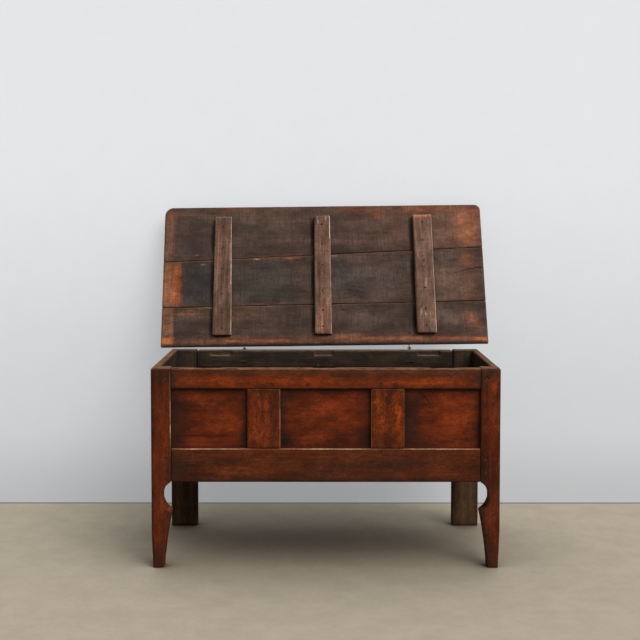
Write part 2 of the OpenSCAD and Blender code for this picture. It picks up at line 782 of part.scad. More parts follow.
rail_cotter(hinge_xs[1]);  // rail_cotter_right
lid_cotter(hinge_xs[0]);  // lid_cotter_left
lid_cotter(hinge_xs[1]);  // lid_cotter_right
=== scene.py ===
"""Looks of a joined oak coffer with its lid open: worn timber, finishes, studio and camera."""

import logging
import math
from collections.abc import Callable, Sequence
from dataclasses import dataclass, replace
from enum import Enum
from functools import partial, reduce
from typing import ClassVar

import bpy
from mathutils import Matrix, Vector


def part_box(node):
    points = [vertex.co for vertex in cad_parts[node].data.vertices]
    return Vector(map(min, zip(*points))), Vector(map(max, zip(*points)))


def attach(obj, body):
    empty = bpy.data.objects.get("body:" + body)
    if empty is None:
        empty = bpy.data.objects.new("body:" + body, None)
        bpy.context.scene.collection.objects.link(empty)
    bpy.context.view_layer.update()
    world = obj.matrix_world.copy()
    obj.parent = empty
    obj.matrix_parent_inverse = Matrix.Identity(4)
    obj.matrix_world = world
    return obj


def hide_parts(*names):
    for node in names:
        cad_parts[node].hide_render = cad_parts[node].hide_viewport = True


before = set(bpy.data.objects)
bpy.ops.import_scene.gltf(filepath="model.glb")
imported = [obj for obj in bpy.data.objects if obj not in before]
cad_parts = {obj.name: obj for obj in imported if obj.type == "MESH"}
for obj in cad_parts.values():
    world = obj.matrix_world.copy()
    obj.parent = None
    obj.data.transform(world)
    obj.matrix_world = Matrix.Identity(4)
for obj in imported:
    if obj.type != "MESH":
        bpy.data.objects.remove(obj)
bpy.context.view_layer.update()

LOG = logging.getLogger("coffer")
PICTURE_SIDE = 640

Colour = tuple[float, float, float]
Pair = tuple[float, float]
Sides = tuple[float, float, float, float]
Node = bpy.types.Node
Socket = bpy.types.NodeSocket
Value = Socket | float | Sequence[float]

# Where the open lid's turning line passes, and how far the lid is swung and skewed on it
LID_PIVOT = Vector((0.0, 0.15913, 0.659))
LID_SWING = math.radians(-111.6)
LID_SKEW = math.radians(-0.75)
# How far the hinge edge of the shut lid lies in front of the turning line
HINGE_EDGE = 0.01203
# How far the lid's two joints rise to the right, as slopes and in degrees
FRONT_SLOPE, REAR_SLOPE = 0.03902, 0.01138
FRONT_LEAN, REAR_LEAN = (math.degrees(math.atan(slope)) for slope in (FRONT_SLOPE, REAR_SLOPE))
MILLIMETRE = 0.001


def shade(*levels: float) -> Colour:
    """Turn red, green and blue from 0 to 255 into the linear colour that a shader takes."""
    shares = (level / 255 for level in levels)
    return tuple(s / 12.92 if s <= 0.04045 else ((s + 0.055) / 1.055) ** 2.4 for s in shares)


def lid_turn() -> Matrix:
    """Work out how the open lid is turned from shut."""
    return Matrix.Rotation(LID_SWING, 3, "X") @ Matrix.Rotation(LID_SKEW, 3, "Z")


def lid_swing() -> Matrix:
    """Work out how the open lid is moved from shut, which is the turn about the turning line."""
    return Matrix.Translation(LID_PIVOT) @ lid_turn().to_4x4() @ Matrix.Translation(-LID_PIVOT)


class Plane(Enum):
    """The face that a board shows, by the axes to its right, up and out of it."""

    FRONT = "xzy"
    END = "yzx"
    FLOOR = "xyz"
    LID = "xyz of the shut lid"

    @property
    def axes(self) -> list[int]:
        """List the numbers of the axes to the right, up and out."""
        return ["xyz".index(letter) for letter in self.value[:3]]


class Grain(Enum):
    """The way a board's grain runs over its face: to the right or up."""

    LEVEL = 0
    UPRIGHT = 1


class Graph:
    """A shader tree in the making, with short ways to add and join its nodes."""

    def __init__(self, tree: bpy.types.NodeTree) -> None:
        """Hold the tree that the nodes go into."""
        self.tree = tree

    def add(self, kind: str, **settings: object) -> Node:
        """Add a node.

        Args:
            kind: Blender's name of the kind of node.
            **settings: Properties to set on it.

        Returns:
            The node.
        """
        node = self.tree.nodes.new(kind)
        for key, value in settings.items():
            setattr(node, key, value)
        return node

    def feed(self, socket: Socket, value: Value) -> None:
        """Link a socket to another, or set its own value.

        Args:
            socket: The input to feed.
            value: An output socket, a number, or a list of numbers.
        """
        if isinstance(value, Socket):
            self.tree.links.new(value, socket)
        elif socket.type == "RGBA":
            socket.default_value = (*value[:3], 1.0)
        else:
            socket.default_value = value

    def fed(
        self, kind: str, inputs: dict[int | str, Value], output: int | str = 0, **settings: object
    ) -> Socket:
        """Add a node, feed it and read it.

        Args:
            kind: Blender's name of the kind of node.
            inputs: What its inputs take, by their numbers or names.
            output: The number or name of the output to read.
            **settings: Properties to set on it.

        Returns:
            The output.
        """
        node = self.add(kind, **settings)
        for key, value in inputs.items():
            self.feed(node.inputs[key], value)
        return node.outputs[output]

    def math(self, operation: str, *values: Value, clamp: bool = False) -> Socket:
        """Work out a number from others, kept from 0 to 1 if it is clamped."""
        return self.fed("ShaderNodeMath", dict(enumerate(values)), operation=operation, use_clamp=clamp)

    def times(self, *values: Value) -> Socket:
        """Multiply numbers."""
        return reduce(partial(self.math, "MULTIPLY"), values)

    def vector(self, operation: str, *values: Value) -> Socket:
        """Work out a vector from others."""
        return self.fed("ShaderNodeVectorMath", dict(enumerate(values)), operation=operation)

    def scale(self, vector: Value, share: Value) -> Socket:
        """Multiply a vector or a colour by a number."""
        return self.fed("ShaderNodeVectorMath", {0: vector, "Scale": share}, operation="SCALE")

    def combine(self, x: Value, y: Value, z: Value) -> Socket:
        """Make a vector of three numbers."""
        return self.fed("ShaderNodeCombineXYZ", {0: x, 1: y, 2: z})

    def separate(self, vector: Value) -> list[Socket]:
        """Take a vector apart into its three numbers."""
        return list(self.fed("ShaderNodeSeparateXYZ", {0: vector}).node.outputs)

    def blend(self, share: Value, first: Value, second: Value) -> Socket:
        """Mix two colours, with a share from 0 to 1 of the second one."""
        inputs = {0: share, 6: first, 7: second}
        return self.fed("ShaderNodeMix", inputs, 2, data_type="RGBA", clamp_factor=True)

    def step(self, value: Value, low: Value, high: Value, first: Value = 0.0, last: Value = 1.0) -> Socket:
        """Let a result go smoothly from the first to the last while a value goes from low to high."""
        inputs = dict(enumerate((value, low, high, first, last)))
        return self.fed("ShaderNodeMapRange", inputs, interpolation_type="SMOOTHSTEP")

    def noise(self, vector: Value, scale: float, detail: float = 3.0, roughness: float = 0.55) -> Socket:
        """Read a noise from 0 to 1, whose scale is its number of waves in a metre."""
        inputs = {"Vector": vector, "Scale": scale, "Detail": detail, "Roughness": roughness}
        return self.fed("ShaderNodeTexNoise", inputs)

    def use(self, group: bpy.types.NodeTree, **values: Value) -> bpy.types.bpy_prop_collection:
        """Place a node group, whose inputs are named with underlines for spaces, and give its outputs."""
        inputs = {name.replace("_", " "): value for name, value in values.items()}
        return self.fed("ShaderNodeGroup", inputs, node_tree=group).node.outputs

    def bump(self, shader: Node, height: Value, strength: float, distance: float) -> None:
        """Raise a shader's surface by a height, of which 1 is the distance in metres."""
        inputs = {"Strength": strength, "Distance": distance, "Height": height}
        self.feed(shader.inputs["Normal"], self.fed("ShaderNodeBump", inputs))


def new_material(name: str) -> tuple[bpy.types.Material, Graph, Node]:
    """Start a material.

    Args:
        name: Its name.

    Returns:
        The material, its graph and its main shader.
    """
    material = bpy.data.materials.new(name)
    material.use_nodes = True
    return material, Graph(material.node_tree), material.node_tree.nodes["Principled BSDF"]


class SharedEffects:
    """The node groups that every oak finish is made of, each built once."""

    # How fast a soft patch fades out past its reach
    FALL = 1.7
    ZERO = (0.0, 0.0, 0.0)

    def __init__(self) -> None:
        """Build the groups."""
        self.grain = self._grain()
        self.patina = self._patina()
        self.edge_band = self._edge_band()
        self.soft_patch = self._soft_patch()

    @staticmethod
    def _start(
        name: str, inputs: dict[str, Value], outputs: Sequence[str]
    ) -> tuple[Graph, dict[str, Socket], dict[str, Socket]]:
        """Open a new node group.

        Args:
            name: Its name.
            inputs: The names of its inputs with their first values, a tuple for a vector.
            outputs: The names of its outputs, all plain numbers.

        Returns:
            The graph, the sockets that give its inputs and the sockets that take its outputs.
        """
        tree = bpy.data.node_groups.new(name, "ShaderNodeTree")
        for label, value in inputs.items():
            kind = "NodeSocketVector" if isinstance(value, tuple) else "NodeSocketFloat"
            tree.interface.new_socket(label, in_out="INPUT", socket_type=kind).default_value = value
        for label in outputs:
            tree.interface.new_socket(label, in_out="OUTPUT", socket_type="NodeSocketFloat")
        graph = Graph(tree)
        given, made = graph.add("NodeGroupInput"), graph.add("NodeGroupOutput")
        gives, takes = ({s.name: s for s in ends if s.name} for ends in (given.outputs, made.inputs))
        return graph, gives, takes

    def _grain(self) -> bpy.types.NodeTree:
        """Build oak grain that runs along X: slow figure, streaks, fibres and open pores.

        Returns:
            The node group.
        """
        names = ("Figure", "Streaks", "Fibres", "Pores", "Height")
        graph, given, made = self._start("oak_grain", {"Vector": self.ZERO}, names)
        sway = graph.math("SUBTRACT", graph.noise(given["Vector"], 1.7, 1.0), 0.5)
        swayed = graph.vector("ADD", given["Vector"], graph.combine(0.0, graph.times(sway, 0.05), 0.0))
        # How much each layer is squeezed along and across, its detail and its two levels
        layers = {
            "Figure": ((1.0, 15.0, 15.0), 4.0, 0.32, 0.68),
            "Streaks": ((2.6, 95.0, 60.0), 4.0, 0.34, 0.68),
            "Fibres": ((10.0, 430.0, 280.0), 2.0, 0.3, 0.7),
            "Pores": ((60.0, 850.0, 600.0), 1.0, 0.6, 0.7),
        }
        found = {}
        for name, (squeeze, detail, low, high) in layers.items():
            waves = graph.noise(graph.vector("MULTIPLY", swayed, squeeze), 1.0, detail, 0.6)
            found[name] = graph.step(waves, low, high)
        relief = graph.math("ADD", graph.times(found["Streaks"], 0.45), graph.times(found["Fibres"], 0.4))
        found["Height"] = graph.math("SUBTRACT", relief, graph.times(found["Pores"], 0.5))
        for name, value in found.items():
            graph.feed(made[name], value)
        return graph.tree

    def _patina(self) -> bpy.types.NodeTree:
        """Build the clouds, rubbed places and dark specks of old handled wood.

        Returns:
            The node group.
        """
        names = ("Clouds", "Rubbed", "Specks", "Break Up", "Grit", "Mottle")
        graph, given, made = self._start("patina", {"Vector": self.ZERO}, names)
        flat = graph.vector("MULTIPLY", given["Vector"], (0.55, 1.0, 1.0))
        # Where each layer is read, its scale, detail and roughness and its two levels
        layers = (
            (flat, 7.0, 6.0, 0.62, 0.36, 0.66),
            (flat, 17.0, 6.0, 0.68, 0.44, 0.68),
            (given["Vector"], 120.0, 3.0, 0.6, 0.62, 0.72),
            (flat, 70.0, 4.0, 0.66, 0.27, 0.73),
            (given["Vector"], 210.0, 3.0, 0.7, 0.3, 0.7),
            (flat, 20.0, 2.0, 0.5, 0.28, 0.72),
        )
        for name, (place, scale, detail, roughness, low, high) in zip(names, layers):
            graph.feed(made[name], graph.step(graph.noise(place, scale, detail, roughness), low, high))
        return graph.tree

    def _edge_band(self) -> bpy.types.NodeTree:
        """Build a band along the edges of a face, with its own weight on each side.

        Its foot and head may slope, and it fades out behind the face.

        Returns:
            The node group.
        """
        start = {"Vector": self.ZERO, "Low": self.ZERO, "High": (1.0, 1.0, 0.0)}
        start |= {"Slopes": self.ZERO, "Width": 0.01, "Reach Behind": 1.0}
        start |= dict.fromkeys(("Left", "Right", "Foot", "Head"), 1.0)
        graph, given, made = self._start("edge_band", start, ("Mask",))
        names = ("Vector", "Low", "High", "Slopes")
        here, low, high, slopes = (graph.separate(given[name]) for name in names)
        foot = graph.math("SUBTRACT", here[1], graph.math("MULTIPLY_ADD", slopes[0], here[0], low[1]))
        head = graph.math("SUBTRACT", graph.math("MULTIPLY_ADD", slopes[1], here[0], high[1]), here[1])
        left, right = graph.math("SUBTRACT", here[0], low[0]), graph.math("SUBTRACT", high[0], here[0])
        mask: Value = 0.0
        for side, distance in (("Left", left), ("Right", right), ("Foot", foot), ("Head", head)):
            band = graph.step(distance, 0.0, given["Width"], 1.0, 0.0)
            mask = graph.math("MAXIMUM", mask, graph.times(band, given[side]))
        behind = graph.step(here[2], 0.0, given["Reach Behind"], 1.0, 0.0)
        graph.feed(made["Mask"], graph.times(mask, behind))
        return graph.tree

    def _soft_patch(self) -> bpy.types.NodeTree:
        """Build a soft patch between an oval and a strip in form, turned by an angle.

        Returns:
            The node group.
        """
        start = {"Vector": self.ZERO, "Centre": self.ZERO, "Reach": (0.1, 0.1, 1.0)}
        start |= {"Turn": 0.0, "Power": 2.0, "Wobble": 0.0}
        graph, given, made = self._start("soft_patch", start, ("Mask",))
        away = graph.vector("SUBTRACT", given["Vector"], given["Centre"])
        about = {"Vector": away, "Angle": given["Turn"]}
        turned = graph.fed("ShaderNodeVectorRotate", about, rotation_type="Z_AXIS")
        across, along, _ = graph.separate(graph.vector("DIVIDE", turned, given["Reach"]))
        shares = []
        for share, sign in ((across, 0.8), (along, -0.9)):
            moved = graph.math("MULTIPLY_ADD", given["Wobble"], sign, share)
            shares.append(graph.math("POWER", graph.math("ABSOLUTE", moved), given["Power"]))
        fall = graph.times(graph.math("ADD", *shares), -self.FALL)
        graph.feed(made["Mask"], graph.math("EXPONENT", fall))
        return graph.tree


@dataclass(frozen=True)
class Patch:
    """An oval patch of another shade on a board's face.

    Its middle and its half width and height are in millimetres to the right and up, and its turn
    is in degrees. Broken says how far the patina breaks it up into islands.
    """

    right: float
    up: float
    half_width: float
    half_height: float
    tone: Colour
    strength: float = 0.7
    broken: float = 0.3
    turn: float = 0.0

    # How full its form is
    POWER: ClassVar[float] = 2.0


class Strip(Patch):
    """A patch with the fuller form of a strip."""

    POWER: ClassVar[float] = 4.0


@dataclass(frozen=True)
class OakFinish:
    """The shades and surface of one way in which oak has aged."""

    name: str
    dark: Colour
    middle: Colour
    light: Colour
    stain: Colour
    rubbed: Colour
    arris: Colour
    pale: Colour
    figure: float = 0.7
    stains: float = 0.5
    rubbing: float = 0.35
    edge_wear: float = 0.5
    roughness: Pair = (0.4, 0.6)
    gloss: float = 0.3
    relief: float = 0.35
    fibres: float = 0.18
    mottling: float = 0.1
    speckle: float = 0.12
    grit: float = 0.12
    flecks: float = 0.0
    scrapes: float = 0.0
    dust: float = 0.0


@dataclass(frozen=True)
class Crack:
    """An open crack in a lid board's face, from its tip to its mouth, in metres on the lid's plane."""

    tip: Pair
    mouth: Pair
    width: float
    depth: float


@dataclass(frozen=True)
class Wear:
    """How age has moved a board's surface, in millimetres: its hollows, arrises and sideways bend."""

    voxel: float = 3.0
    hollows: float = 0.7
    arrises: float = 2.2
    bend: float = 0.0
    crack: Crack | None = None


@dataclass(frozen=True)
class Board:
    """One piece of the frame with its finish, the face it shows and what lies on it.

    The face's corners and the slopes of its foot and head are in metres to the right and up on its
    plane. Level is where the face lies, and inward is 1 or -1 for the way from there into the
    wood. The reverse has its own finish, and another one below the case's floor if it is a leg.
    Turns are the shares of the thickness between which the face gives way to it.
    Weights of edges go left, right, foot, head.
    """

    node: str
    finish: OakFinish
    grain: Grain
    low: Pair
    high: Pair
    level: float
    thickness: float
    plane: Plane = Plane.FRONT
    inward: float = 1.0
    reverse: OakFinish | None = None
    leg: OakFinish | None = None
    turns: Pair = (0.7, 0.95)
    # Pale edges carry wear and also a painted highlight
    worn_and_highlit_edges: Sides = (0.0, 0.0, 0.0, 0.0)
    worn_and_highlit_reach: float = 0.005
    # Dark edges carry grime and also painted shade
    grimy_edges: Sides = (0.5, 0.5, 0.5, 0.5)
    grime_width: float = 0.02
    slopes: Pair = (0.0, 0.0)
    patches: tuple[Patch, ...] = ()
    wear: Wear = Wear()
    seed: float = 0.0


class OakPaint:
    """The material of one board in the making, out of its finish and the shared effects."""

    # The edge band's dark is grime, and also painted shade where a face lies in the shade of its
    # neighbours
    GRIME_AND_SHADE = shade(40, 27, 20)
    # Between these heights a leg's finish gives way to the inside's
    FLOOR_LINE = (0.30, 0.33)
    # Between these depths behind the face its patches end
    SKIN = (0.002, 0.005)
    # How far the pattern of the wood moves on with a board's seed
    SEED_STEP = (3.7, 1.3, 2.1)
    # The height of the finest relief in metres
    RELIEF = 0.0012
    # How much rougher a worn arris is
    WORN_ROUGHNESS = 0.12
    # The scale, detail and roughness of the noise that makes edges uneven
    WOBBLE = (34.0, 4.0, 0.62)
    # How far that noise moves the grime and painted shade to the right, for its width, and up, for the way
    # to the right
    GRIME_AND_SHADE_DRIFT = (1.1, -0.8)
    # How finely scrapes lie along and across the grain
    SCRAPES = (170.0, 13.0)

    def __init__(self, effects: SharedEffects, board: Board) -> None:
        """Start a board's material and place the grain and the patina on it.

        Args:
            effects: The shared node groups.
            board: The board.
        """
        self.effects, self.board = effects, board
        self.material, self.graph, self.shader = new_material(f"{board.finish.name}_{board.node}")
        right, self.up, self.behind = self._place()
        across = (right, self.up) if board.grain is Grain.LEVEL else (self.up, right)
        start = tuple(board.seed * step for step in self.SEED_STEP)
        self.run = self.graph.vector("ADD", self.graph.combine(*across, self.behind), start)
        self.grain = self.graph.use(effects.grain, Vector=self.run)
        self.patina = self.graph.use(effects.patina, Vector=self.run)
        self.wobble = self.graph.math("SUBTRACT", self.graph.noise(self.run, *self.WOBBLE), 0.5)
        self.face = self.graph.combine(right, self.up, self.behind)

    def _place(self) -> tuple[Value, Value, Value]:
        """Read the place on the board.

        Returns:
            How far it is to the right, up and behind the face, in metres.
        """
        graph, board = self.graph, self.board
        here = graph.fed("ShaderNodeTexCoord", {}, "Object")
        if board.plane is Plane.LID:
            moved = {"Vector": here, "Location": LID_PIVOT, "Rotation": lid_turn().to_euler("XYZ")}
            here = graph.fed("ShaderNodeMapping", moved, vector_type="TEXTURE")
        parts = graph.separate(here)
        right, up, out = (parts[axis] for axis in board.plane.axes)
        if board.plane is Plane.LID:
            up = graph.math("MULTIPLY_ADD", up, -1.0, -HINGE_EDGE)
        return right, up, graph.math("MULTIPLY_ADD", out, board.inward, -board.level * board.inward)

    def finish(self) -> bpy.types.Material:
        """Lay the wood, patches, reverse, grime and painted shade, worn arrises with painted highlights
        and dust over each other.

        Returns:
            The finished material.
        """
        graph, board, finish = self.graph, self.board, self.board.finish
        colour = self._wood(finish)
        on_face = graph.step(self.behind, *self.SKIN, 1.0, 0.0)
        for patch in board.patches:
            colour = self._patch(colour, patch, on_face)
        roughness = self._roughness(finish)
        if board.reverse:
            turned = graph.step(self.behind, *(board.thickness * share for share in board.turns))
            back = self._wood(board.reverse)
            if board.leg:
                below = graph.step(self.up, *self.FLOOR_LINE, 1.0, 0.0)
                back = graph.blend(below, back, self._wood(board.leg))
            colour = graph.blend(turned, colour, back)
            roughness = graph.step(turned, 0.0, 1.0, roughness, self._roughness(board.reverse))
        grimy = self._grime()
        colour = graph.scale(graph.blend(grimy, colour, self.GRIME_AND_SHADE), self._texture())
        colour, wear = self._arrises(colour, grimy)
        if finish.dust:
            colour = graph.blend(self._dust(), colour, finish.pale)
        graph.feed(self.shader.inputs["Base Color"], colour)
        rough = graph.math("MULTIPLY_ADD", wear, self.WORN_ROUGHNESS, roughness, clamp=True)
        graph.feed(self.shader.inputs["Roughness"], rough)
        self.shader.inputs["Specular IOR Level"].default_value = finish.gloss
        height, specks, grit = self.grain["Height"], self.patina["Specks"], self.patina["Grit"]
        for layer, depth in ((self.wobble, 1.6), (specks, -0.6), (grit, 0.5)):
            height = graph.math("MULTIPLY_ADD", layer, depth, height)
        graph.bump(self.shader, height, finish.relief, self.RELIEF)
        return self.material

    def _roughness(self, finish: OakFinish) -> Value:
        """Make the rubbed places of a finish smoother than the rest."""
        smooth, rough = finish.roughness
        return self.graph.step(self.patina["Rubbed"], 0.0, 1.0, rough, smooth)

    def _wood(self, finish: OakFinish) -> Value:
        """Mix the shades of bare grain, stains and rubbed places.

        Args:
            finish: The finish with these shades.

        Returns:
            The colour.
        """
        graph, grain, patina = self.graph, self.grain, self.patina
        streaks = graph.times(grain["Streaks"], 1.0 - finish.figure)
        bands = graph.math("MULTIPLY_ADD", grain["Figure"], finish.figure, streaks)
        colour = graph.blend(graph.step(bands, 0.0, 0.55), finish.dark, finish.middle)
        colour = graph.blend(graph.step(bands, 0.5, 1.0), colour, finish.light)
        colour = graph.blend(graph.times(patina["Clouds"], finish.stains), colour, finish.stain)
        rubbed = graph.times(patina["Rubbed"], finish.rubbing)
        flecks = graph.step(patina["Break Up"], 0.5, 1.0, 0.0, finish.flecks)
        return graph.blend(graph.math("MAXIMUM", rubbed, flecks), colour, finish.rubbed)

    def _texture(self) -> Value:
        """Make the fine light and dark of fibres, pores, grit and scrapes that lies over every shade.

        Returns:
            What a colour is multiplied by.
        """
        graph, patina, finish = self.graph, self.patina, self.board.finish
        share = graph.step(self.grain["Fibres"], 0.0, 1.0, 1.0 - finish.fibres, 1.0)
        depths = {"Mottle": finish.mottling, "Break Up": finish.speckle, "Grit": finish.grit}
        for name, depth in depths.items():
            share = graph.times(share, graph.step(patina[name], 0.0, 1.0, 1.0 - depth, 1.0 + depth))
        dots = graph.math("MAXIMUM", self.grain["Pores"], patina["Specks"])
        share = graph.times(share, graph.step(dots, 0.0, 1.0, 1.0, 0.68))
        if finish.scrapes:
            sizes = zip(graph.separate(self.run), self.SCRAPES)
            place = graph.combine(*(graph.times(part, size) for part, size in sizes), 0.0)
            hairs = graph.step(graph.noise(place, 1.0, 2.0, 0.5), 0.3, 0.7)
            depth = graph.step(patina["Mottle"], 0.0, 1.0, 0.3 * finish.scrapes, 1.4 * finish.scrapes)
            away = graph.math("MULTIPLY_ADD", hairs, -2.0, 1.0)
            share = graph.times(share, graph.math("MULTIPLY_ADD", away, depth, 1.0))
        return share

    def _patch(self, colour: Value, patch: Patch, on_face: Value) -> Value:
        """Lay a patch over a colour.

        Args:
            colour: The colour under it.
            patch: The patch.
            on_face: The mask of the board's face.

        Returns:
            The colour with the patch.
        """
        graph = self.graph
        oval = graph.use(
            self.effects.soft_patch,
            Vector=self.face,
            Centre=(patch.right * MILLIMETRE, patch.up * MILLIMETRE, 0.0),
            Reach=(patch.half_width * MILLIMETRE, patch.half_height * MILLIMETRE, 1.0),
            Turn=math.radians(-patch.turn),
            Power=patch.POWER,
            Wobble=self.wobble,
        )
        held = graph.step(self.patina["Break Up"], 0.0, 1.0, 1.0 - patch.broken, 1.0)
        return graph.blend(graph.times(oval["Mask"], held, patch.strength, on_face), colour, patch.tone)

    def _grime(self) -> Value:
        """Find the grime and painted shade along the board's edges.

        Returns:
            The mask of the grime and painted shade.
        """
        graph, board = self.graph, self.board
        aside, upwards = self.GRIME_AND_SHADE_DRIFT
        drift = graph.times(self.wobble, board.grime_width * aside)
        moved = graph.vector("ADD", self.face, graph.combine(drift, graph.times(drift, upwards), 0.0))
        return self._band(moved, board.grime_width, board.grimy_edges, 1.0)

    def _arrises(self, colour: Value, grimy: Value) -> tuple[Value, Value]:
        """Lay the wear along the arrises, soft where there is neither grime nor painted shade, and pale on
        some sides, partly with wear and partly as a painted highlight.

        Args:
            colour: The colour under it.
            grimy: The mask of the grime and painted shade.

        Returns:
            The colour with the wear and painted highlight, and the mask of both.
        """
        graph, board, finish = self.graph, self.board, self.board.finish
        arris = graph.fed("ShaderNodeAttribute", {}, "Fac", attribute_name=WornTimber.ARRIS)
        broken = self.patina["Break Up"]
        clean = graph.math("MULTIPLY_ADD", grimy, -1.2, finish.edge_wear, clamp=True)
        soft = graph.times(graph.step(arris, 0.1, 0.8), graph.step(broken, 0.0, 1.0, 0.25, 1.0), clean)
        colour = graph.blend(soft, colour, finish.arris)
        if not any(board.worn_and_highlit_edges):
            return colour, soft
        # Pale edges: wear, and a painted highlight on the sides that face the light
        band = self._band(self.face, board.worn_and_highlit_reach, board.worn_and_highlit_edges, board.worn_and_highlit_reach)
        pale = graph.times(graph.step(band, 0.0, 0.7), graph.step(arris, 0.25, 0.75))
        pale = graph.times(pale, graph.step(broken, 0.0, 1.0, 0.5, 1.0))
        return graph.blend(pale, colour, finish.pale), graph.math("MAXIMUM", pale, soft)

    def _band(self, place: Value, width: float, sides: Sides, behind: float) -> Value:
        """Place the shared edge band round the board's face.

        Args:
            place: Where the band is read.
            width: The band's width.
            sides: The weights of the left, right, foot and head.
            behind: How far it reaches behind the face.

        Returns:
            The band's mask.
        """
        board = self.board
        values = {"Low": (*board.low, 0.0), "High": (*board.high, 0.0), "Slopes": (*board.slopes, 0.0)}
        values |= zip(("Left", "Right", "Foot", "Head"), sides)
        values |= {"Vector": place, "Width": width, "Reach_Behind": behind}
        return self.graph.use(self.effects.edge_band, **values)["Mask"]

    def _dust(self) -> Value:
        """Let dust settle where the board looks up.

        Returns:
            The dust's mask.
        """
        graph = self.graph
        upward = graph.separate(graph.fed("ShaderNodeNewGeometry", {}, "Normal"))[2]
        settled = graph.step(upward, 0.6, 0.95)
        return graph.times(settled, graph.step(self.wobble, -0.35, 0.1), self.board.finish.dust)


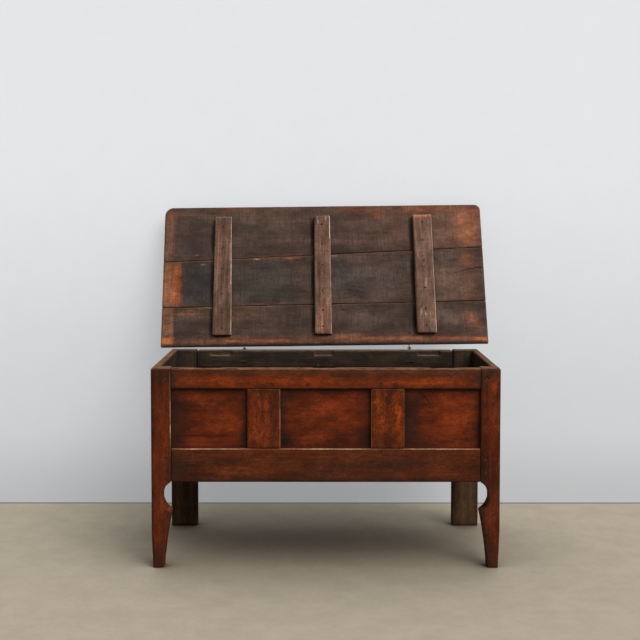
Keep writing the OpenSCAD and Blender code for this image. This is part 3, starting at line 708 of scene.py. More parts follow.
class WornTimber:
    """Makes a worn board out of each clean one: hollowed faces, rubbed arrises and slight bends."""

    ARRIS = "arris"
    # Edges sharper than the first are arrises, and those flatter than the second are shaded smooth
    SHARP = math.radians(24.0)
    SMOOTH = math.radians(50.0)
    CRACK_STEPS = 9
    # How a crack narrows towards its tip, how much of it closes there, and its waves with their sizes
    CRACK_TAPER = 0.7
    CRACK_CLOSING = 0.9
    CRACK_WAVES = ((9.0, 1.0), (23.0, 0.6))
    # Points nearer to each other than this become one
    WELD = 0.02 * MILLIMETRE
    # How far the patterns of wear are drawn out along the grain, and how a seed moves them on
    STRETCH = 3.5
    SEED_STEP = (1.0, 0.37, 0.61)

    def __init__(self, effects: SharedEffects) -> None:
        """Set up the patterns of wear, each with the size of its clouds, its finer layers and contrast.

        Args:
            effects: The shared node groups for the boards' materials.
        """
        self.effects = effects
        self.hollows = self._clouds("hand_planing", 0.045, 2, 1.0)
        self.knocks = self._clouds("knocks", 0.016, 2, 1.7)
        self.sway = self._clouds("slow_bend", 0.35, 1, 1.3)

    @staticmethod
    def _clouds(name: str, size: float, depth: int, contrast: float) -> bpy.types.Texture:
        """Make a pattern of soft clouds.

        Args:
            name: Its name.
            size: The size of a cloud in metres.
            depth: How many finer layers it has.
            contrast: How strong it is.

        Returns:
            The pattern.
        """
        texture = bpy.data.textures.new(name, "CLOUDS")
        texture.noise_scale, texture.noise_depth, texture.contrast = size, depth, contrast
        return texture

    def build(self, board: Board, body: str, slot: str) -> None:
        """Make one worn board and let it stand for its node.

        Args:
            board: The board.
            body: The body it moves with.
            slot: The name of a material slot; not used.
        """
        wear = board.wear
        piece = bpy.data.objects.new(f"{board.node}_worn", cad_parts[board.node].data.copy())
        bpy.context.scene.collection.objects.link(piece)
        self._select(piece)
        if board.plane is Plane.LID:
            self._swing(piece, lid_swing().inverted())
        self._edit(partial(bpy.ops.mesh.remove_doubles, threshold=self.WELD))
        self._modify(piece, "REMESH", mode="VOXEL", voxel_size=wear.voxel * MILLIMETRE)
        self._mark_arrises(piece)
        guide = self._guide(board)
        for depth, texture, middle, more in (
            (wear.arrises, self.knocks, 1.0, {"vertex_group": self.ARRIS}),
            (wear.hollows, self.hollows, 1.0, {}),
            (wear.bend, self.sway, 0.5, {"direction": "X"}),
        ):
            if depth:
                more |= {"strength": depth * MILLIMETRE, "texture": texture, "mid_level": middle}
                more |= {"texture_coords": "OBJECT", "texture_coords_object": guide}
                self._modify(piece, "DISPLACE", **more)
        bpy.data.objects.remove(guide)
        self._keep_arrises(piece)
        if wear.crack:
            self._split(piece, board, wear.crack)
        if board.plane is Plane.LID:
            self._swing(piece, lid_swing())
        bpy.ops.object.shade_smooth_by_angle(angle=self.SMOOTH)
        piece.data.materials.clear()
        piece.data.materials.append(OakPaint(self.effects, board).finish())
        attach(piece, body)
        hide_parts(board.node)
        LOG.info("%s: %d faces in %s", piece.name, len(piece.data.polygons), board.finish.name)

    @staticmethod
    def _select(piece: bpy.types.Object) -> None:
        """Select one piece alone and make it the active one.

        Args:
            piece: The piece.
        """
        bpy.ops.object.select_all(action="DESELECT")
        piece.select_set(True)
        bpy.context.view_layer.objects.active = piece

    @staticmethod
    def _edit(work: Callable[[], object]) -> None:
        """Do some work on the whole mesh of the active piece.

        Args:
            work: What to call while all of it is selected for editing.
        """
        bpy.ops.object.mode_set(mode="EDIT")
        bpy.ops.mesh.select_all(action="SELECT")
        work()
        bpy.ops.object.mode_set(mode="OBJECT")

    @staticmethod
    def _modify(piece: bpy.types.Object, kind: str, **settings: object) -> None:
        """Add a modifier to the active piece and apply it.

        Args:
            piece: The piece.
            kind: The kind of modifier.
            **settings: Its settings.
        """
        modifier = piece.modifiers.new(kind.lower(), kind)
        for key, value in settings.items():
            setattr(modifier, key, value)
        bpy.ops.object.modifier_apply(modifier=modifier.name)

    def _split(self, piece: bpy.types.Object, board: Board, crack: Crack) -> None:
        """Open a crack in a board of the shut lid, from the face that looks down.

        Args:
            piece: The worn board.
            board: What it is made from.
            crack: The crack.
        """
        tip, mouth = (
            Vector((right, LID_PIVOT.y - HINGE_EDGE - up, LID_PIVOT.z + board.level))
            for right, up in (crack.tip, crack.mouth)
        )
        length = (mouth - tip).length
        bpy.ops.object.select_all(action="DESELECT")
        bpy.ops.mesh.primitive_cube_add(size=1.0, location=(tip + mouth) / 2)
        wedge = bpy.context.active_object
        wedge.scale = (length, crack.width, 2 * crack.depth)
        wedge.rotation_euler.z = math.atan2(mouth.y - tip.y, mouth.x - tip.x)
        bpy.ops.object.transform_apply(location=True, rotation=True, scale=True)
        self._edit(partial(bpy.ops.mesh.subdivide, number_cuts=self.CRACK_STEPS))
        along = (mouth - tip).normalized()
        across = Vector((-along.y, along.x, 0.0))
        for point in wedge.data.vertices:
            reach = (point.co - tip).dot(along) / length
            aside = (point.co - tip).dot(across)
            sway = crack.width * sum(size * math.sin(rate * reach) for rate, size in self.CRACK_WAVES)
            closed = aside * (max(reach, 0.0) ** self.CRACK_TAPER - 1.0) * self.CRACK_CLOSING
            point.co += across * (closed + sway)
        self._select(piece)
        self._modify(piece, "BOOLEAN", operation="DIFFERENCE", object=wedge, solver="EXACT")
        bpy.data.objects.remove(wedge)

    @staticmethod
    def _swing(piece: bpy.types.Object, swing: Matrix) -> None:
        """Turn a piece and keep the turn in its mesh.

        Args:
            piece: The piece.
            swing: The turn.
        """
        piece.matrix_world = swing
        bpy.context.view_layer.update()
        bpy.ops.object.transform_apply(location=True, rotation=True, scale=True)

    def _guide(self, board: Board) -> bpy.types.Object:
        """Make the guide along which the patterns of wear are drawn out with the grain.

        Args:
            board: The board.

        Returns:
            The guide, an empty that is deleted after use.
        """
        guide = bpy.data.objects.new("guide", None)
        bpy.context.scene.collection.objects.link(guide)
        guide.location = tuple(board.seed * step for step in self.SEED_STEP)
        guide.scale[board.plane.axes[board.grain.value]] = self.STRETCH
        bpy.context.view_layer.update()
        return guide

    def _mark_arrises(self, piece: bpy.types.Object) -> None:
        """Gather the points on a board's arrises in a vertex group.

        Args:
            piece: The board.
        """
        group = piece.vertex_groups.new(name=self.ARRIS)
        bpy.ops.object.mode_set(mode="EDIT")
        bpy.ops.mesh.select_mode(type="EDGE")
        bpy.ops.mesh.select_all(action="DESELECT")
        bpy.ops.mesh.edges_select_sharp(sharpness=self.SHARP)
        bpy.ops.mesh.select_mode(type="VERT")
        bpy.context.scene.tool_settings.vertex_group_weight = 1.0
        piece.vertex_groups.active_index = group.index
        bpy.ops.object.vertex_group_assign()
        bpy.ops.object.mode_set(mode="OBJECT")

    def _keep_arrises(self, piece: bpy.types.Object) -> None:
        """Write the arrises into an attribute that the material reads.

        Args:
            piece: The board.
        """
        group = piece.vertex_groups[self.ARRIS].index
        marks = [any(share.group == group for share in point.groups) for point in piece.data.vertices]
        piece.vertex_groups.clear()
        attribute = piece.data.attributes.new(self.ARRIS, "FLOAT", "POINT")
        attribute.data.foreach_set("value", [float(mark) for mark in marks])


FRAME_OAK = OakFinish(
    "frame_oak",
    dark=shade(58, 23, 10),
    middle=shade(90, 35, 11),
    light=shade(116, 47, 13),
    stain=shade(62, 33, 17),
    rubbed=shade(130, 52, 14),
    arris=shade(112, 56, 28),
    pale=shade(196, 148, 110),
    roughness=(0.45, 0.68),
    gloss=0.11,
    fibres=0.24,
    mottling=0.18,
    speckle=0.14,
    grit=0.2,
    flecks=0.15,
    dust=0.25,
)
MUNTIN_OAK = replace(FRAME_OAK, name="muntin_oak", speckle=0.24, grit=0.3)
PANEL_OAK = OakFinish(
    "panel_oak",
    dark=shade(58, 22, 9),
    middle=shade(92, 34, 10),
    light=shade(116, 44, 11),
    stain=shade(58, 27, 13),
    rubbed=shade(128, 48, 12),
    arris=shade(100, 50, 26),
    pale=shade(170, 130, 100),
    stains=0.45,
    roughness=(0.42, 0.66),
    gloss=0.11,
    fibres=0.14,
    mottling=0.22,
    grit=0.17,
    flecks=0.2,
)
INSIDE_OAK = OakFinish(
    "inside_oak",
    dark=shade(40, 30, 22),
    middle=shade(60, 46, 34),
    light=shade(80, 61, 45),
    stain=shade(38, 32, 24),
    rubbed=shade(86, 66, 49),
    arris=shade(66, 55, 42),
    pale=shade(140, 122, 100),
    roughness=(0.6, 0.8),
    gloss=0.1,
    relief=0.6,
)
# A lighter copy of the inside's finish for the legs below the floor, partly painted light where the legs
# stand out of the case's shade
LIT_LEG_OAK = replace(
    INSIDE_OAK,
    name="leg_oak",
    dark=shade(58, 39, 25),
    middle=shade(84, 60, 40),
    light=shade(106, 76, 52),
    stain=shade(58, 42, 29),
    rubbed=shade(108, 74, 48),
)
BACK_OAK = OakFinish(
    "back_oak",
    dark=shade(52, 38, 29),
    middle=shade(78, 58, 44),
    light=shade(100, 77, 59),
    stain=shade(52, 40, 31),
    rubbed=shade(104, 80, 60),
    arris=shade(92, 76, 57),
    pale=shade(150, 130, 106),
    edge_wear=0.4,
    roughness=(0.6, 0.8),
    gloss=0.15,
    relief=0.6,
    dust=0.3,
)
FLOOR_OAK = OakFinish(
    "floor_oak",
    dark=shade(58, 45, 34),
    middle=shade(82, 65, 50),
    light=shade(104, 84, 66),
    stain=shade(54, 43, 34),
    rubbed=shade(106, 87, 70),
    arris=shade(120, 100, 82),
    pale=shade(130, 112, 94),
    roughness=(0.65, 0.85),
    gloss=0.15,
    relief=0.6,
)
LID_OAK = OakFinish(
    "lid_oak",
    dark=shade(62, 48, 42),
    middle=shade(78, 60, 52),
    light=shade(94, 72, 61),
    stain=shade(66, 57, 48),
    rubbed=shade(96, 67, 56),
    arris=shade(106, 78, 60),
    pale=shade(170, 136, 110),
    figure=0.8,
    roughness=(0.6, 0.82),
    gloss=0.1,
    relief=0.4,
    fibres=0.05,
    mottling=0.2,
    speckle=0.1,
    grit=0.13,
    scrapes=0.14,
)
BATTEN_OAK = OakFinish(
    "batten_oak",
    dark=shade(84, 60, 49),
    middle=shade(124, 93, 77),
    light=shade(150, 116, 98),
    stain=shade(98, 74, 60),
    rubbed=shade(142, 100, 82),
    arris=shade(146, 116, 98),
    pale=shade(228, 198, 174),
    figure=0.4,
    edge_wear=0.35,
    roughness=(0.6, 0.8),
    gloss=0.1,
    relief=0.7,
    fibres=0.26,
    mottling=0.24,
    speckle=0.16,
    grit=0.14,
    scrapes=0.1,
)


# Shades that several marks on the boards share
DIRT, BLACK, DARK = shade(46, 37, 25), shade(34, 21, 14), shade(42, 25, 18)
RAIL_GLOW, PANEL_GLOW = shade(150, 62, 19), shade(134, 54, 17)
ORANGE, RUST, SOOT = shade(150, 78, 42), shade(128, 72, 50), shade(38, 30, 27)
# The seam tone is painted light that lightens the grooves of the lid's joints against their shade
CREAM, SEAM_PAINTED_LIGHT = shade(190, 158, 132), shade(130, 99, 78)
SCRATCH = {"tone": shade(206, 180, 160), "broken": 0.7}


def worm_tracks(*tracks: tuple[float, float, float, float]) -> tuple[Patch, ...]:
    """List the short dark tracks of worms, each with its place, its reach and its turn."""
    form = {"half_height": 3.2, "tone": shade(30, 22, 22), "strength": 0.85, "broken": 0.7}
    return tuple(Patch(right, up, reach, turn=turn, **form) for right, up, reach, turn in tracks)


def batten_shadows(up: float, reach: float) -> tuple[Patch, ...]:
    """List the painted shadows that the battens cast along their left, with their middle and reach
    upwards.
    """
    lines = ((-425, 0.75), (-41, 0.9), (341, 0.85))
    return tuple(Strip(right, up, 10, reach, shade(20, 14, 12), dark, 0.2) for right, dark in lines)


def post_scuffs(middle: float) -> tuple[Patch, ...]:
    """List the marks that both front posts have, round the middle of one in millimetres."""
    return (
        Strip(middle, 30, 60, 66, shade(46, 29, 20), 0.8, 0.6),
        Patch(middle, 190, 26, 70, shade(126, 56, 24), 0.45, 0.5),
        Strip(middle, 650, 60, 20, shade(62, 42, 32), 0.6, 0.4),
    )


# The marks on each board of the case, in the order in which they lie over each other
CASE_MARKS: dict[str, tuple[Patch, ...]] = {
    "front_post_left": (
        *post_scuffs(-537.5),
        Patch(-512, 620, 15, 36, DIRT, 0.9),
        Patch(-512, 335, 18, 56, DIRT, 0.8),
        Patch(-540, 470, 24, 130, shade(122, 52, 22), 0.3, 0.5),
        Patch(-546, 628, 30, 30, DIRT, 0.6, 0.4),
        Patch(-562, 560, 12, 120, shade(60, 34, 22), 0.5, 0.4),
        # A pale line on the post's arris beside the panels: wear and a painted highlight where light falls
        # on it
        Strip(-506.5, 492, 1.6, 104, shade(206, 168, 134), 0.9, 0.6),
        Strip(-506, 624, 2.2, 36, shade(128, 108, 88), 0.6, 0.6),
    ),
    "front_post_right": (
        *post_scuffs(537.5),
        Patch(536, 642, 34, 20, DIRT, 0.85),
        Patch(549, 596, 13, 28, shade(146, 60, 22), 0.8, 0.4),
        Patch(512, 612, 12, 34, DIRT, 0.8),
        Patch(512, 330, 14, 50, DIRT, 0.7),
        Patch(548, 470, 20, 140, shade(124, 53, 22), 0.5, 0.5),
    ),
    "front_top_rail": (
        Strip(0, 651, 540, 15, shade(80, 51, 33), 0.85),
        Patch(-350, 615, 180, 20, RAIL_GLOW, 0.75, 0.4),
        Patch(-60, 614, 140, 18, RAIL_GLOW, 0.65, 0.4),
        Patch(300, 613, 230, 20, shade(160, 67, 21), 0.8, 0.4),
        Strip(330, 646, 150, 12, shade(98, 60, 40), 0.6, 0.4),
        *(Patch(x, 622, 16, 36, shade(58, 44, 29), 0.9) for x in (-498, 497)),
        Patch(-214, 600, 34, 9, BLACK, 0.75, 0.4),
        Patch(-58, 603, 9, 8, BLACK, 0.8, 0.1),
        *(Patch(x, 602.5, 13, 10, BLACK, 0.85, 0.15) for x in (177.5, 226.5)),
        Strip(-170, 596, 60, 6, BLACK, 0.5, 0.5),
    ),
    "front_bottom_rail": (
        Strip(0, 340, 580, 66, shade(70, 42, 22), 0.65, 0.7),
        # Pale lines along the rail's top arris under the panels: wear and a painted highlight on its lit
        # top
        *(
            Strip(x, 392.5, reach, 2.0, shade(204, 166, 134), 0.95, 0.5)
            for x, reach in ((-381, 128), (0, 150), (381, 128))
        ),
        Patch(-484, 335, 50, 56, shade(48, 38, 25), 0.8, 0.35),
        Patch(330, 345, 190, 40, shade(96, 50, 26), 0.45, 0.6),
        Patch(-289, 320, 70, 24, shade(134, 66, 30), 0.6, 0.6),
        Patch(-230, 352, 60, 22, shade(120, 54, 24), 0.5, 0.6),
        Patch(250, 345, 90, 26, shade(50, 33, 24), 0.5, 0.6),
        Patch(90, 355, 80, 22, shade(112, 54, 26), 0.4, 0.7),
    ),
    "front_muntin_left": (
        Strip(-174, 492, 11, 105, shade(62, 36, 22), 0.5, 0.4),
        Strip(-214, 480, 36, 110, shade(142, 60, 21), 0.6, 0.5),
        Patch(-232, 547, 6, 7, BLACK, 0.7, 0.2),
        Patch(-220, 560, 5, 5, BLACK, 0.6, 0.2),
    ),
    "front_muntin_right": (
        Strip(172, 500, 24, 90, shade(154, 68, 19), 0.75, 0.5),
        Patch(236, 500, 26, 94, shade(170, 71, 18), 0.85, 0.4),
        Patch(188, 424, 40, 30, shade(48, 28, 19), 0.7),
        Patch(205, 480, 14, 60, shade(66, 35, 20), 0.35, 0.5),
    ),
    "front_panel_left": (
        Patch(-330, 475, 95, 56, PANEL_GLOW, 0.75, 0.4),
        Patch(-400, 545, 90, 26, PANEL_GLOW, 0.45, 0.6),
        # Darker sunk corners: grime and painted shade
        Patch(-267, 417, 30, 34, shade(30, 19, 15), 0.95, 0.15),
        Patch(-492, 418, 26, 34, DARK, 0.85, 0.2),
        Strip(-478, 500, 38, 110, DARK, 0.6, 0.35),
    ),
    "front_panel_middle": (
        Patch(10, 512, 115, 52, PANEL_GLOW, 0.75, 0.4),
        Patch(-40, 430, 90, 34, PANEL_GLOW, 0.55, 0.5),
        # Darker sunk corners: grime and painted shade
        Patch(-130, 415, 30, 34, shade(30, 19, 15), 0.95, 0.15),
        Patch(128, 420, 36, 40, DARK, 0.8),
        Patch(-122, 560, 36, 36, DARK, 0.75),
        Patch(-10, 492, 60, 7, DARK, 0.4, 0.7),
    ),
    "front_panel_right": (
        Patch(420, 500, 85, 74, shade(142, 58, 18), 0.8, 0.4),
        Patch(400, 412, 80, 26, shade(126, 54, 20), 0.7, 0.5),
        Patch(376, 548, 80, 26, PANEL_GLOW, 0.5, 0.6),
        Strip(276, 500, 36, 110, DARK, 0.7),
        # Darker sunk corner: grime and painted shade
        Patch(286, 425, 44, 36, DARK, 0.7, 0.35),
        Patch(326, 560, 3.6, 34, shade(20, 12, 9), 1.0, 0.1, turn=35.6),
        Patch(311, 568, 3.0, 24, shade(28, 17, 12), 0.9, 0.2, turn=31.0),
    ),
}

# The marks on each board and batten of the lid, in the same order
LID_MARKS: dict[str, tuple[Patch, ...]] = {
    "lid_board_front": (
        # A lighter, warmer right part: partly the wood's own tone and partly painted light from the right
        Patch(430, 460, 260, 170, shade(122, 86, 68), 0.5),
        Patch(-240, 490, 130, 64, shade(94, 80, 62), 0.45),
        Patch(-480, 400, 90, 60, shade(62, 52, 52), 0.6),
        Patch(330, 470, 60, 70, shade(82, 62, 60), 0.5),
        Patch(470, 430, 54, 80, shade(124, 88, 76), 0.6),
        Strip(0, 552, 600, 14, shade(98, 74, 58), 0.6, 0.4),
        Strip(-598, 450, 24, 130, shade(136, 92, 68), 0.6, 0.4),
        Patch(-588, 528, 40, 30, RUST, 0.45, 0.4),
        Strip(-330, 545, 110, 16, shade(108, 70, 52), 0.6, 0.5),
        Patch(160, 540, 110, 22, shade(126, 74, 50), 0.7, 0.4),
        Patch(214, 516, 36, 14, shade(142, 74, 44), 0.6, 0.4),
        Strip(392, 545, 120, 16, shade(142, 80, 52), 0.75, 0.4),
        Patch(556, 468, 56, 104, shade(170, 106, 74), 0.88, 0.25),
        Patch(590, 520, 44, 50, shade(138, 80, 56), 0.7),
        Patch(576, 405, 30, 30, RUST, 0.6),
        Strip(-110, 358, 44, 6, RUST, 0.7, 0.8, turn=FRONT_LEAN),
        Strip(527, 380, 34, 2.4, CREAM, 0.7, 0.6, turn=FRONT_LEAN),
        Patch(-486, 362, 9, 2, CREAM, 0.6, 0.6),
        # Painted light along the joint's groove
        Strip(-300, 348, 290, 3.2, SEAM_PAINTED_LIGHT, 0.8, turn=FRONT_LEAN),
        *batten_shadows(436, 80),
    ),
    "lid_board_middle": (
        Strip(-470, 240, 86, 100, shade(54, 52, 51), 0.85, 0.15),
        Strip(-230, 240, 150, 96, shade(60, 58, 54), 0.65),
        Patch(60, 262, 90, 80, shade(80, 76, 72), 0.6),
        Patch(190, 240, 130, 80, shade(88, 76, 72), 0.6),
        Patch(300, 300, 90, 50, shade(84, 76, 68), 0.45),
        Patch(456, 270, 46, 100, shade(108, 86, 72), 0.6),
        Patch(118, 205, 60, 46, SOOT, 0.5, 0.95),
        *worm_tracks(
            (86, 236, 16, -12), (112, 229, 14, 8), (140, 225, 18, -6), (98, 215, 18, 10),
            (128, 211, 14, -10), (152, 204, 12, 6), (84, 199, 14, -8), (116, 192, 18, 6),
            (142, 184, 14, -6),
        ),
        Strip(-600, 240, 24, 120, shade(158, 100, 66), 0.8, 0.35),
        Strip(-562, 240, 20, 100, ORANGE, 0.85, 0.25),
        Patch(-574, 205, 9, 44, shade(196, 112, 62), 0.7, 0.5),
        Patch(-568, 290, 10, 36, shade(168, 92, 50), 0.6, 0.5),
        Patch(546, 225, 38, 74, shade(136, 90, 66), 0.75),
        Patch(552, 325, 36, 50, shade(138, 82, 60), 0.75),
        Strip(-118, 345, 36, 4, ORANGE, 0.8, 0.8, turn=FRONT_LEAN),
        Patch(-256, 342, 11, 2.2, CREAM, 0.9, 0.4),
        Patch(-462, 322, 9, 3, CREAM, 0.6, 0.5),
        Strip(40, 352, 14, 2, CREAM, 0.6, 0.5, turn=FRONT_LEAN),
        Strip(-250, 160, 34, 4, shade(166, 122, 88), 0.85, 0.8),
        Strip(-150, 165, 36, 3, shade(134, 84, 62), 0.7, 0.8),
        # Painted light along the joints' grooves
        Strip(-300, 346.5, 290, 3.2, SEAM_PAINTED_LIGHT, 0.8, turn=FRONT_LEAN),
        Strip(-330, 156, 260, 3.2, SEAM_PAINTED_LIGHT, 0.8, turn=REAR_LEAN),
        Strip(220, 162, 190, 3.2, SEAM_PAINTED_LIGHT, 0.75, turn=REAR_LEAN),
        Strip(588, 381, 30, 3, SOOT, 0.8, turn=FRONT_LEAN),
        Strip(556, 292, 60, 2.6, SOOT, 0.8, turn=11.2),
        # A lighter, warmer right part: partly the wood's own tone and partly painted light from the right
        Patch(500, 240, 90, 110, shade(120, 93, 78), 0.6),
        *batten_shadows(256, 108),
    ),
    "lid_board_rear": (
        Strip(0, 20, 640, 24, shade(112, 72, 54), 0.7, 0.4),
        Strip(-400, 19, 170, 8, shade(138, 84, 56), 0.6, 0.8),
        Strip(-330, 17, 36, 5, shade(190, 104, 60), 0.7, 0.6),
        Strip(-190, 18, 76, 6.5, shade(180, 100, 58), 0.85, 0.6),
        Strip(70, 31, 90, 10, shade(154, 92, 66), 0.7, 0.6),
        Strip(250, 22, 170, 8, shade(162, 98, 66), 0.8, 0.6),
        Strip(480, 18, 90, 8, shade(160, 90, 58), 0.8, 0.5),
        Strip(-592, 22, 28, 15, shade(214, 122, 68), 0.95, 0.4),
        Strip(588, 15, 34, 9, shade(196, 110, 66), 0.8, 0.4),
        Strip(-600, 100, 24, 90, shade(142, 94, 66), 0.75, 0.4),
        Strip(-576, 90, 9, 76, shade(152, 104, 74), 0.65, 0.5),
        Strip(-508, 131, 70, 12, shade(150, 96, 62), 0.75, 0.95),
        Patch(-312, 120, 70, 24, RUST, 0.6, 0.95),
        Strip(-455, 150, 30, 5, shade(160, 112, 76), 0.8, 0.9),
        Patch(565, 85, 70, 30, shade(142, 90, 66), 0.8, turn=-48.0),
        Patch(600, 40, 26, 13, shade(84, 80, 78), 0.8, 0.2),
        Patch(319, 40, 9, 8, SOOT, 0.9, 0.1),
        *worm_tracks((64, 150, 12, 6), (100, 144, 20, -5), (72, 136, 12, 4)),
        Patch(440, 120, 60, 24, shade(90, 78, 68), 0.5),
        # Painted light along the joint's groove
        Strip(-330, 155, 260, 3.2, SEAM_PAINTED_LIGHT, 0.8, turn=REAR_LEAN),
        Strip(220, 161, 190, 3.2, SEAM_PAINTED_LIGHT, 0.75, turn=REAR_LEAN),
        Strip(0, 2, 640, 6, SOOT, 0.85, 0.2),
        # A lighter, warmer right part: partly the wood's own tone and partly painted light from the right
        Patch(478, 100, 70, 50, shade(118, 94, 82), 0.6),
        Patch(150, 100, 110, 44, shade(96, 78, 70), 0.5, 0.4),
        *batten_shadows(96, 66),
    ),
    "batten_left": (
        Patch(-385, 455, 44, 90, shade(88, 62, 52), 0.6, 0.5),
        Patch(-380, 60, 44, 60, shade(98, 72, 54), 0.5, 0.5),
    ),
    "batten_middle": (
        Patch(-20, 492, 4, 20, turn=8, **SCRATCH),
        Patch(10, 500, 3, 12, turn=-6, **SCRATCH),
        Patch(-4, 440, 40, 60, shade(104, 68, 56), 0.5, 0.6),
        Patch(-2, 90, 34, 70, shade(140, 72, 50), 0.65, 0.7),
        Patch(-8, 80, 4, 50, shade(210, 170, 140), 0.6, 0.8),
    ),
    "batten_right": (
        Patch(366, 120, 5, 24, turn=-14, **SCRATCH),
        Patch(382, 108, 3, 14, turn=10, **SCRATCH),
        Patch(388, 240, 5, 40, turn=-4, **SCRATCH),
        Strip(383, 508, 42, 10, shade(206, 122, 66), 0.9, 0.4),
    ),
}


@dataclass
class Case:
    """The panelled case on its four legs, in metres."""

    half_width: float = 0.570
    front: float = -0.38737
    back: float = 0.14863
    height: float = 0.657
    leg: float = 0.283
    sight_low: float = 0.394
    sight_high: float = 0.590
    post: float = 0.065
    post_depth: float = 0.060
    stile: float = 0.097
    front_thickness: float = 0.032
    back_thickness: float = 0.042
    end_thickness: float = 0.026
    panel_thickness: float = 0.011
    panel_set: float = 0.0152
    end_panel_set: float = 0.0092
    half_middle_panel: float = 0.147
    muntin: float = 0.110
    half_rear_muntin: float = 0.046
    rear_rail_drop: float = 0.0015
    floor_top: float = 0.322
    floor_thickness: float = 0.012
    posts_wear: Wear = Wear(hollows=0.6, arrises=2.4)
    rails_wear: Wear = Wear(hollows=0.7, arrises=2.0)
    panels_wear: Wear = Wear(hollows=0.9, arrises=1.0)
    hidden_wear: Wear = Wear(voxel=4.0, hollows=1.0, arrises=2.0)

    def build(self, timber: WornTimber) -> None:
        """Make every board of the case.

        Args:
            timber: What makes the worn boards.
        """
        for slot, boards in (
            ("frame_oak", [*self._posts(), *self._front_rails(), *self._end_rails()]),
            ("panel_oak", [*self._front_panels(), *self._end_panels()]),
            ("back_oak", self._back()),
            ("bottom_boards", self._floor()),
        ):
            for board in boards:
                timber.build(board, "case", slot)

    def _posts(self) -> list[Board]:
        """List the two front posts.

        Returns:
            The boards.
        """
        inner = self.half_width - self.post
        return [
            Board(
                node, FRAME_OAK, Grain.UPRIGHT, (start, 0.0), (end, self.height), self.front,
                self.post_depth,
                grimy_edges=(0.35, 0.2, 0.5, 0.4),
                grime_width=0.018,
                patches=CASE_MARKS[node],
                wear=self.posts_wear,
                seed=seed,
            )
            for node, start, end, seed in (
                ("front_post_left", -self.half_width, -inner, 1.0),
                ("front_post_right", inner, self.half_width, 2.2),
            )
        ]

    def _front_rails(self) -> list[Board]:
        """List the front rails and muntins.

        Returns:
            The boards.
        """
        inner, edge = self.half_width - self.post, self.half_middle_panel
        muntin, low, high = edge + self.muntin, self.sight_low, self.sight_high
        rows = (
            ("front_top_rail", (-inner, high), (inner, self.height), 0.012, 11.0),
            ("front_bottom_rail", (-inner, self.leg), (inner, low), 0.022, 12.7),
            ("front_muntin_left", (-muntin, low), (-edge, high), 0.02, 4.0),
            ("front_muntin_right", (edge, low), (muntin, high), 0.02, 5.2),
        )
        # The edges of each that are pale with wear and painted highlight, and those dark with grime and
        # painted shade
        edges = {
            "front_top_rail": ((0.0, 0.0, 0.0, 0.8), (0.4, 0.5, 0.2, 0.0)),
            "front_bottom_rail": ((0.0, 0.0, 0.0, 0.15), (0.5, 0.3, 0.75, 0.0)),
            "front_muntin_left": ((0.1, 0.85, 0.0, 0.0), (0.4, 0.1, 0.3, 0.35)),
            "front_muntin_right": ((0.6, 0.25, 0.0, 0.0), (0.1, 0.2, 0.3, 0.2)),
        }
        return [
            Board(
                node, FRAME_OAK if "rail" in node else MUNTIN_OAK,
                Grain.LEVEL if "rail" in node else Grain.UPRIGHT, start, end, self.front,
                self.front_thickness,
                reverse=INSIDE_OAK,
                worn_and_highlit_edges=edges[node][0],
                grimy_edges=edges[node][1],
                grime_width=grime,
                patches=CASE_MARKS[node],
                wear=self.rails_wear,
                seed=seed,
            )
            for node, start, end, grime, seed in rows
        ]

    def _front_panels(self) -> list[Board]:
        """List the front panels.

        Returns:
            The boards.
        """
        inner, edge = self.half_width - self.post, self.half_middle_panel
        return [
            Board(
                node, PANEL_OAK, Grain.LEVEL, (start, self.sight_low), (end, self.sight_high),
                self.front + self.panel_set, self.panel_thickness,
                reverse=INSIDE_OAK,
                # The sunk panels darken at their edges with grime and painted shade, least at the foot
                grimy_edges=(0.75, 0.6, 0.12, 0.75),
                grime_width=0.03,
                patches=CASE_MARKS[node],
                wear=self.panels_wear,
                seed=seed,
            )
            for node, start, end, seed in (
                ("front_panel_left", -inner, -edge - self.muntin, 7.0),
                ("front_panel_middle", -edge, edge, 8.1),
                ("front_panel_right", edge + self.muntin, inner, 9.4),
            )
        ]

    def _back(self) -> list[Board]:
        """List the stiles, rails, muntin and panels of the back.

        Returns:
            The boards.
        """
        inner, edge = self.half_width - self.stile, self.half_rear_muntin
        low, high = self.sight_low, self.sight_high
        rows = (
            ("rear_stile_left", (-self.half_width, 0.0), (-inner, self.height)),
            ("rear_stile_right", (inner, 0.0), (self.half_width, self.height)),
            ("rear_muntin", (-edge, low), (edge, high)),
            ("rear_top_rail", (-inner, high), (inner, self.height - self.rear_rail_drop)),
            ("rear_bottom_rail", (-inner, self.leg), (inner, low)),
            ("rear_panel_left", (-inner, low), (-edge, high)),
            ("rear_panel_right", (edge, low), (inner, high)),
        )
        return [
            Board(
                node, BACK_OAK,
                Grain.UPRIGHT if "stile" in node or "muntin" in node else Grain.LEVEL, start, end,
                self.back - (self.panel_set if "panel" in node else 0.0),
                self.panel_thickness if "panel" in node else self.back_thickness,
                inward=-1.0,
                reverse=INSIDE_OAK,
                leg=LIT_LEG_OAK if "stile" in node else None,
                wear=self.hidden_wear,
                seed=20.0 + 1.7 * number,
            )
            for number, (node, start, end) in enumerate(rows)
        ]

    def _end(self, node: str, finish: OakFinish, heights: Pair, side: float, **more: object) -> Board:
        """Describe a board of an end.

        Args:
            node: Its node.
            finish: Its finish.
            heights: Its foot and head.
            side: -1 for the left end, 1 for the right one.
            **more: What else the board has.

        Returns:
            The board.
        """
        near, far = self.front + self.post_depth, self.back - self.back_thickness
        more |= {"plane": Plane.END, "inward": -side, "reverse": INSIDE_OAK}
        return Board(node, finish, Grain.LEVEL, (near, heights[0]), (far, heights[1]), **more)

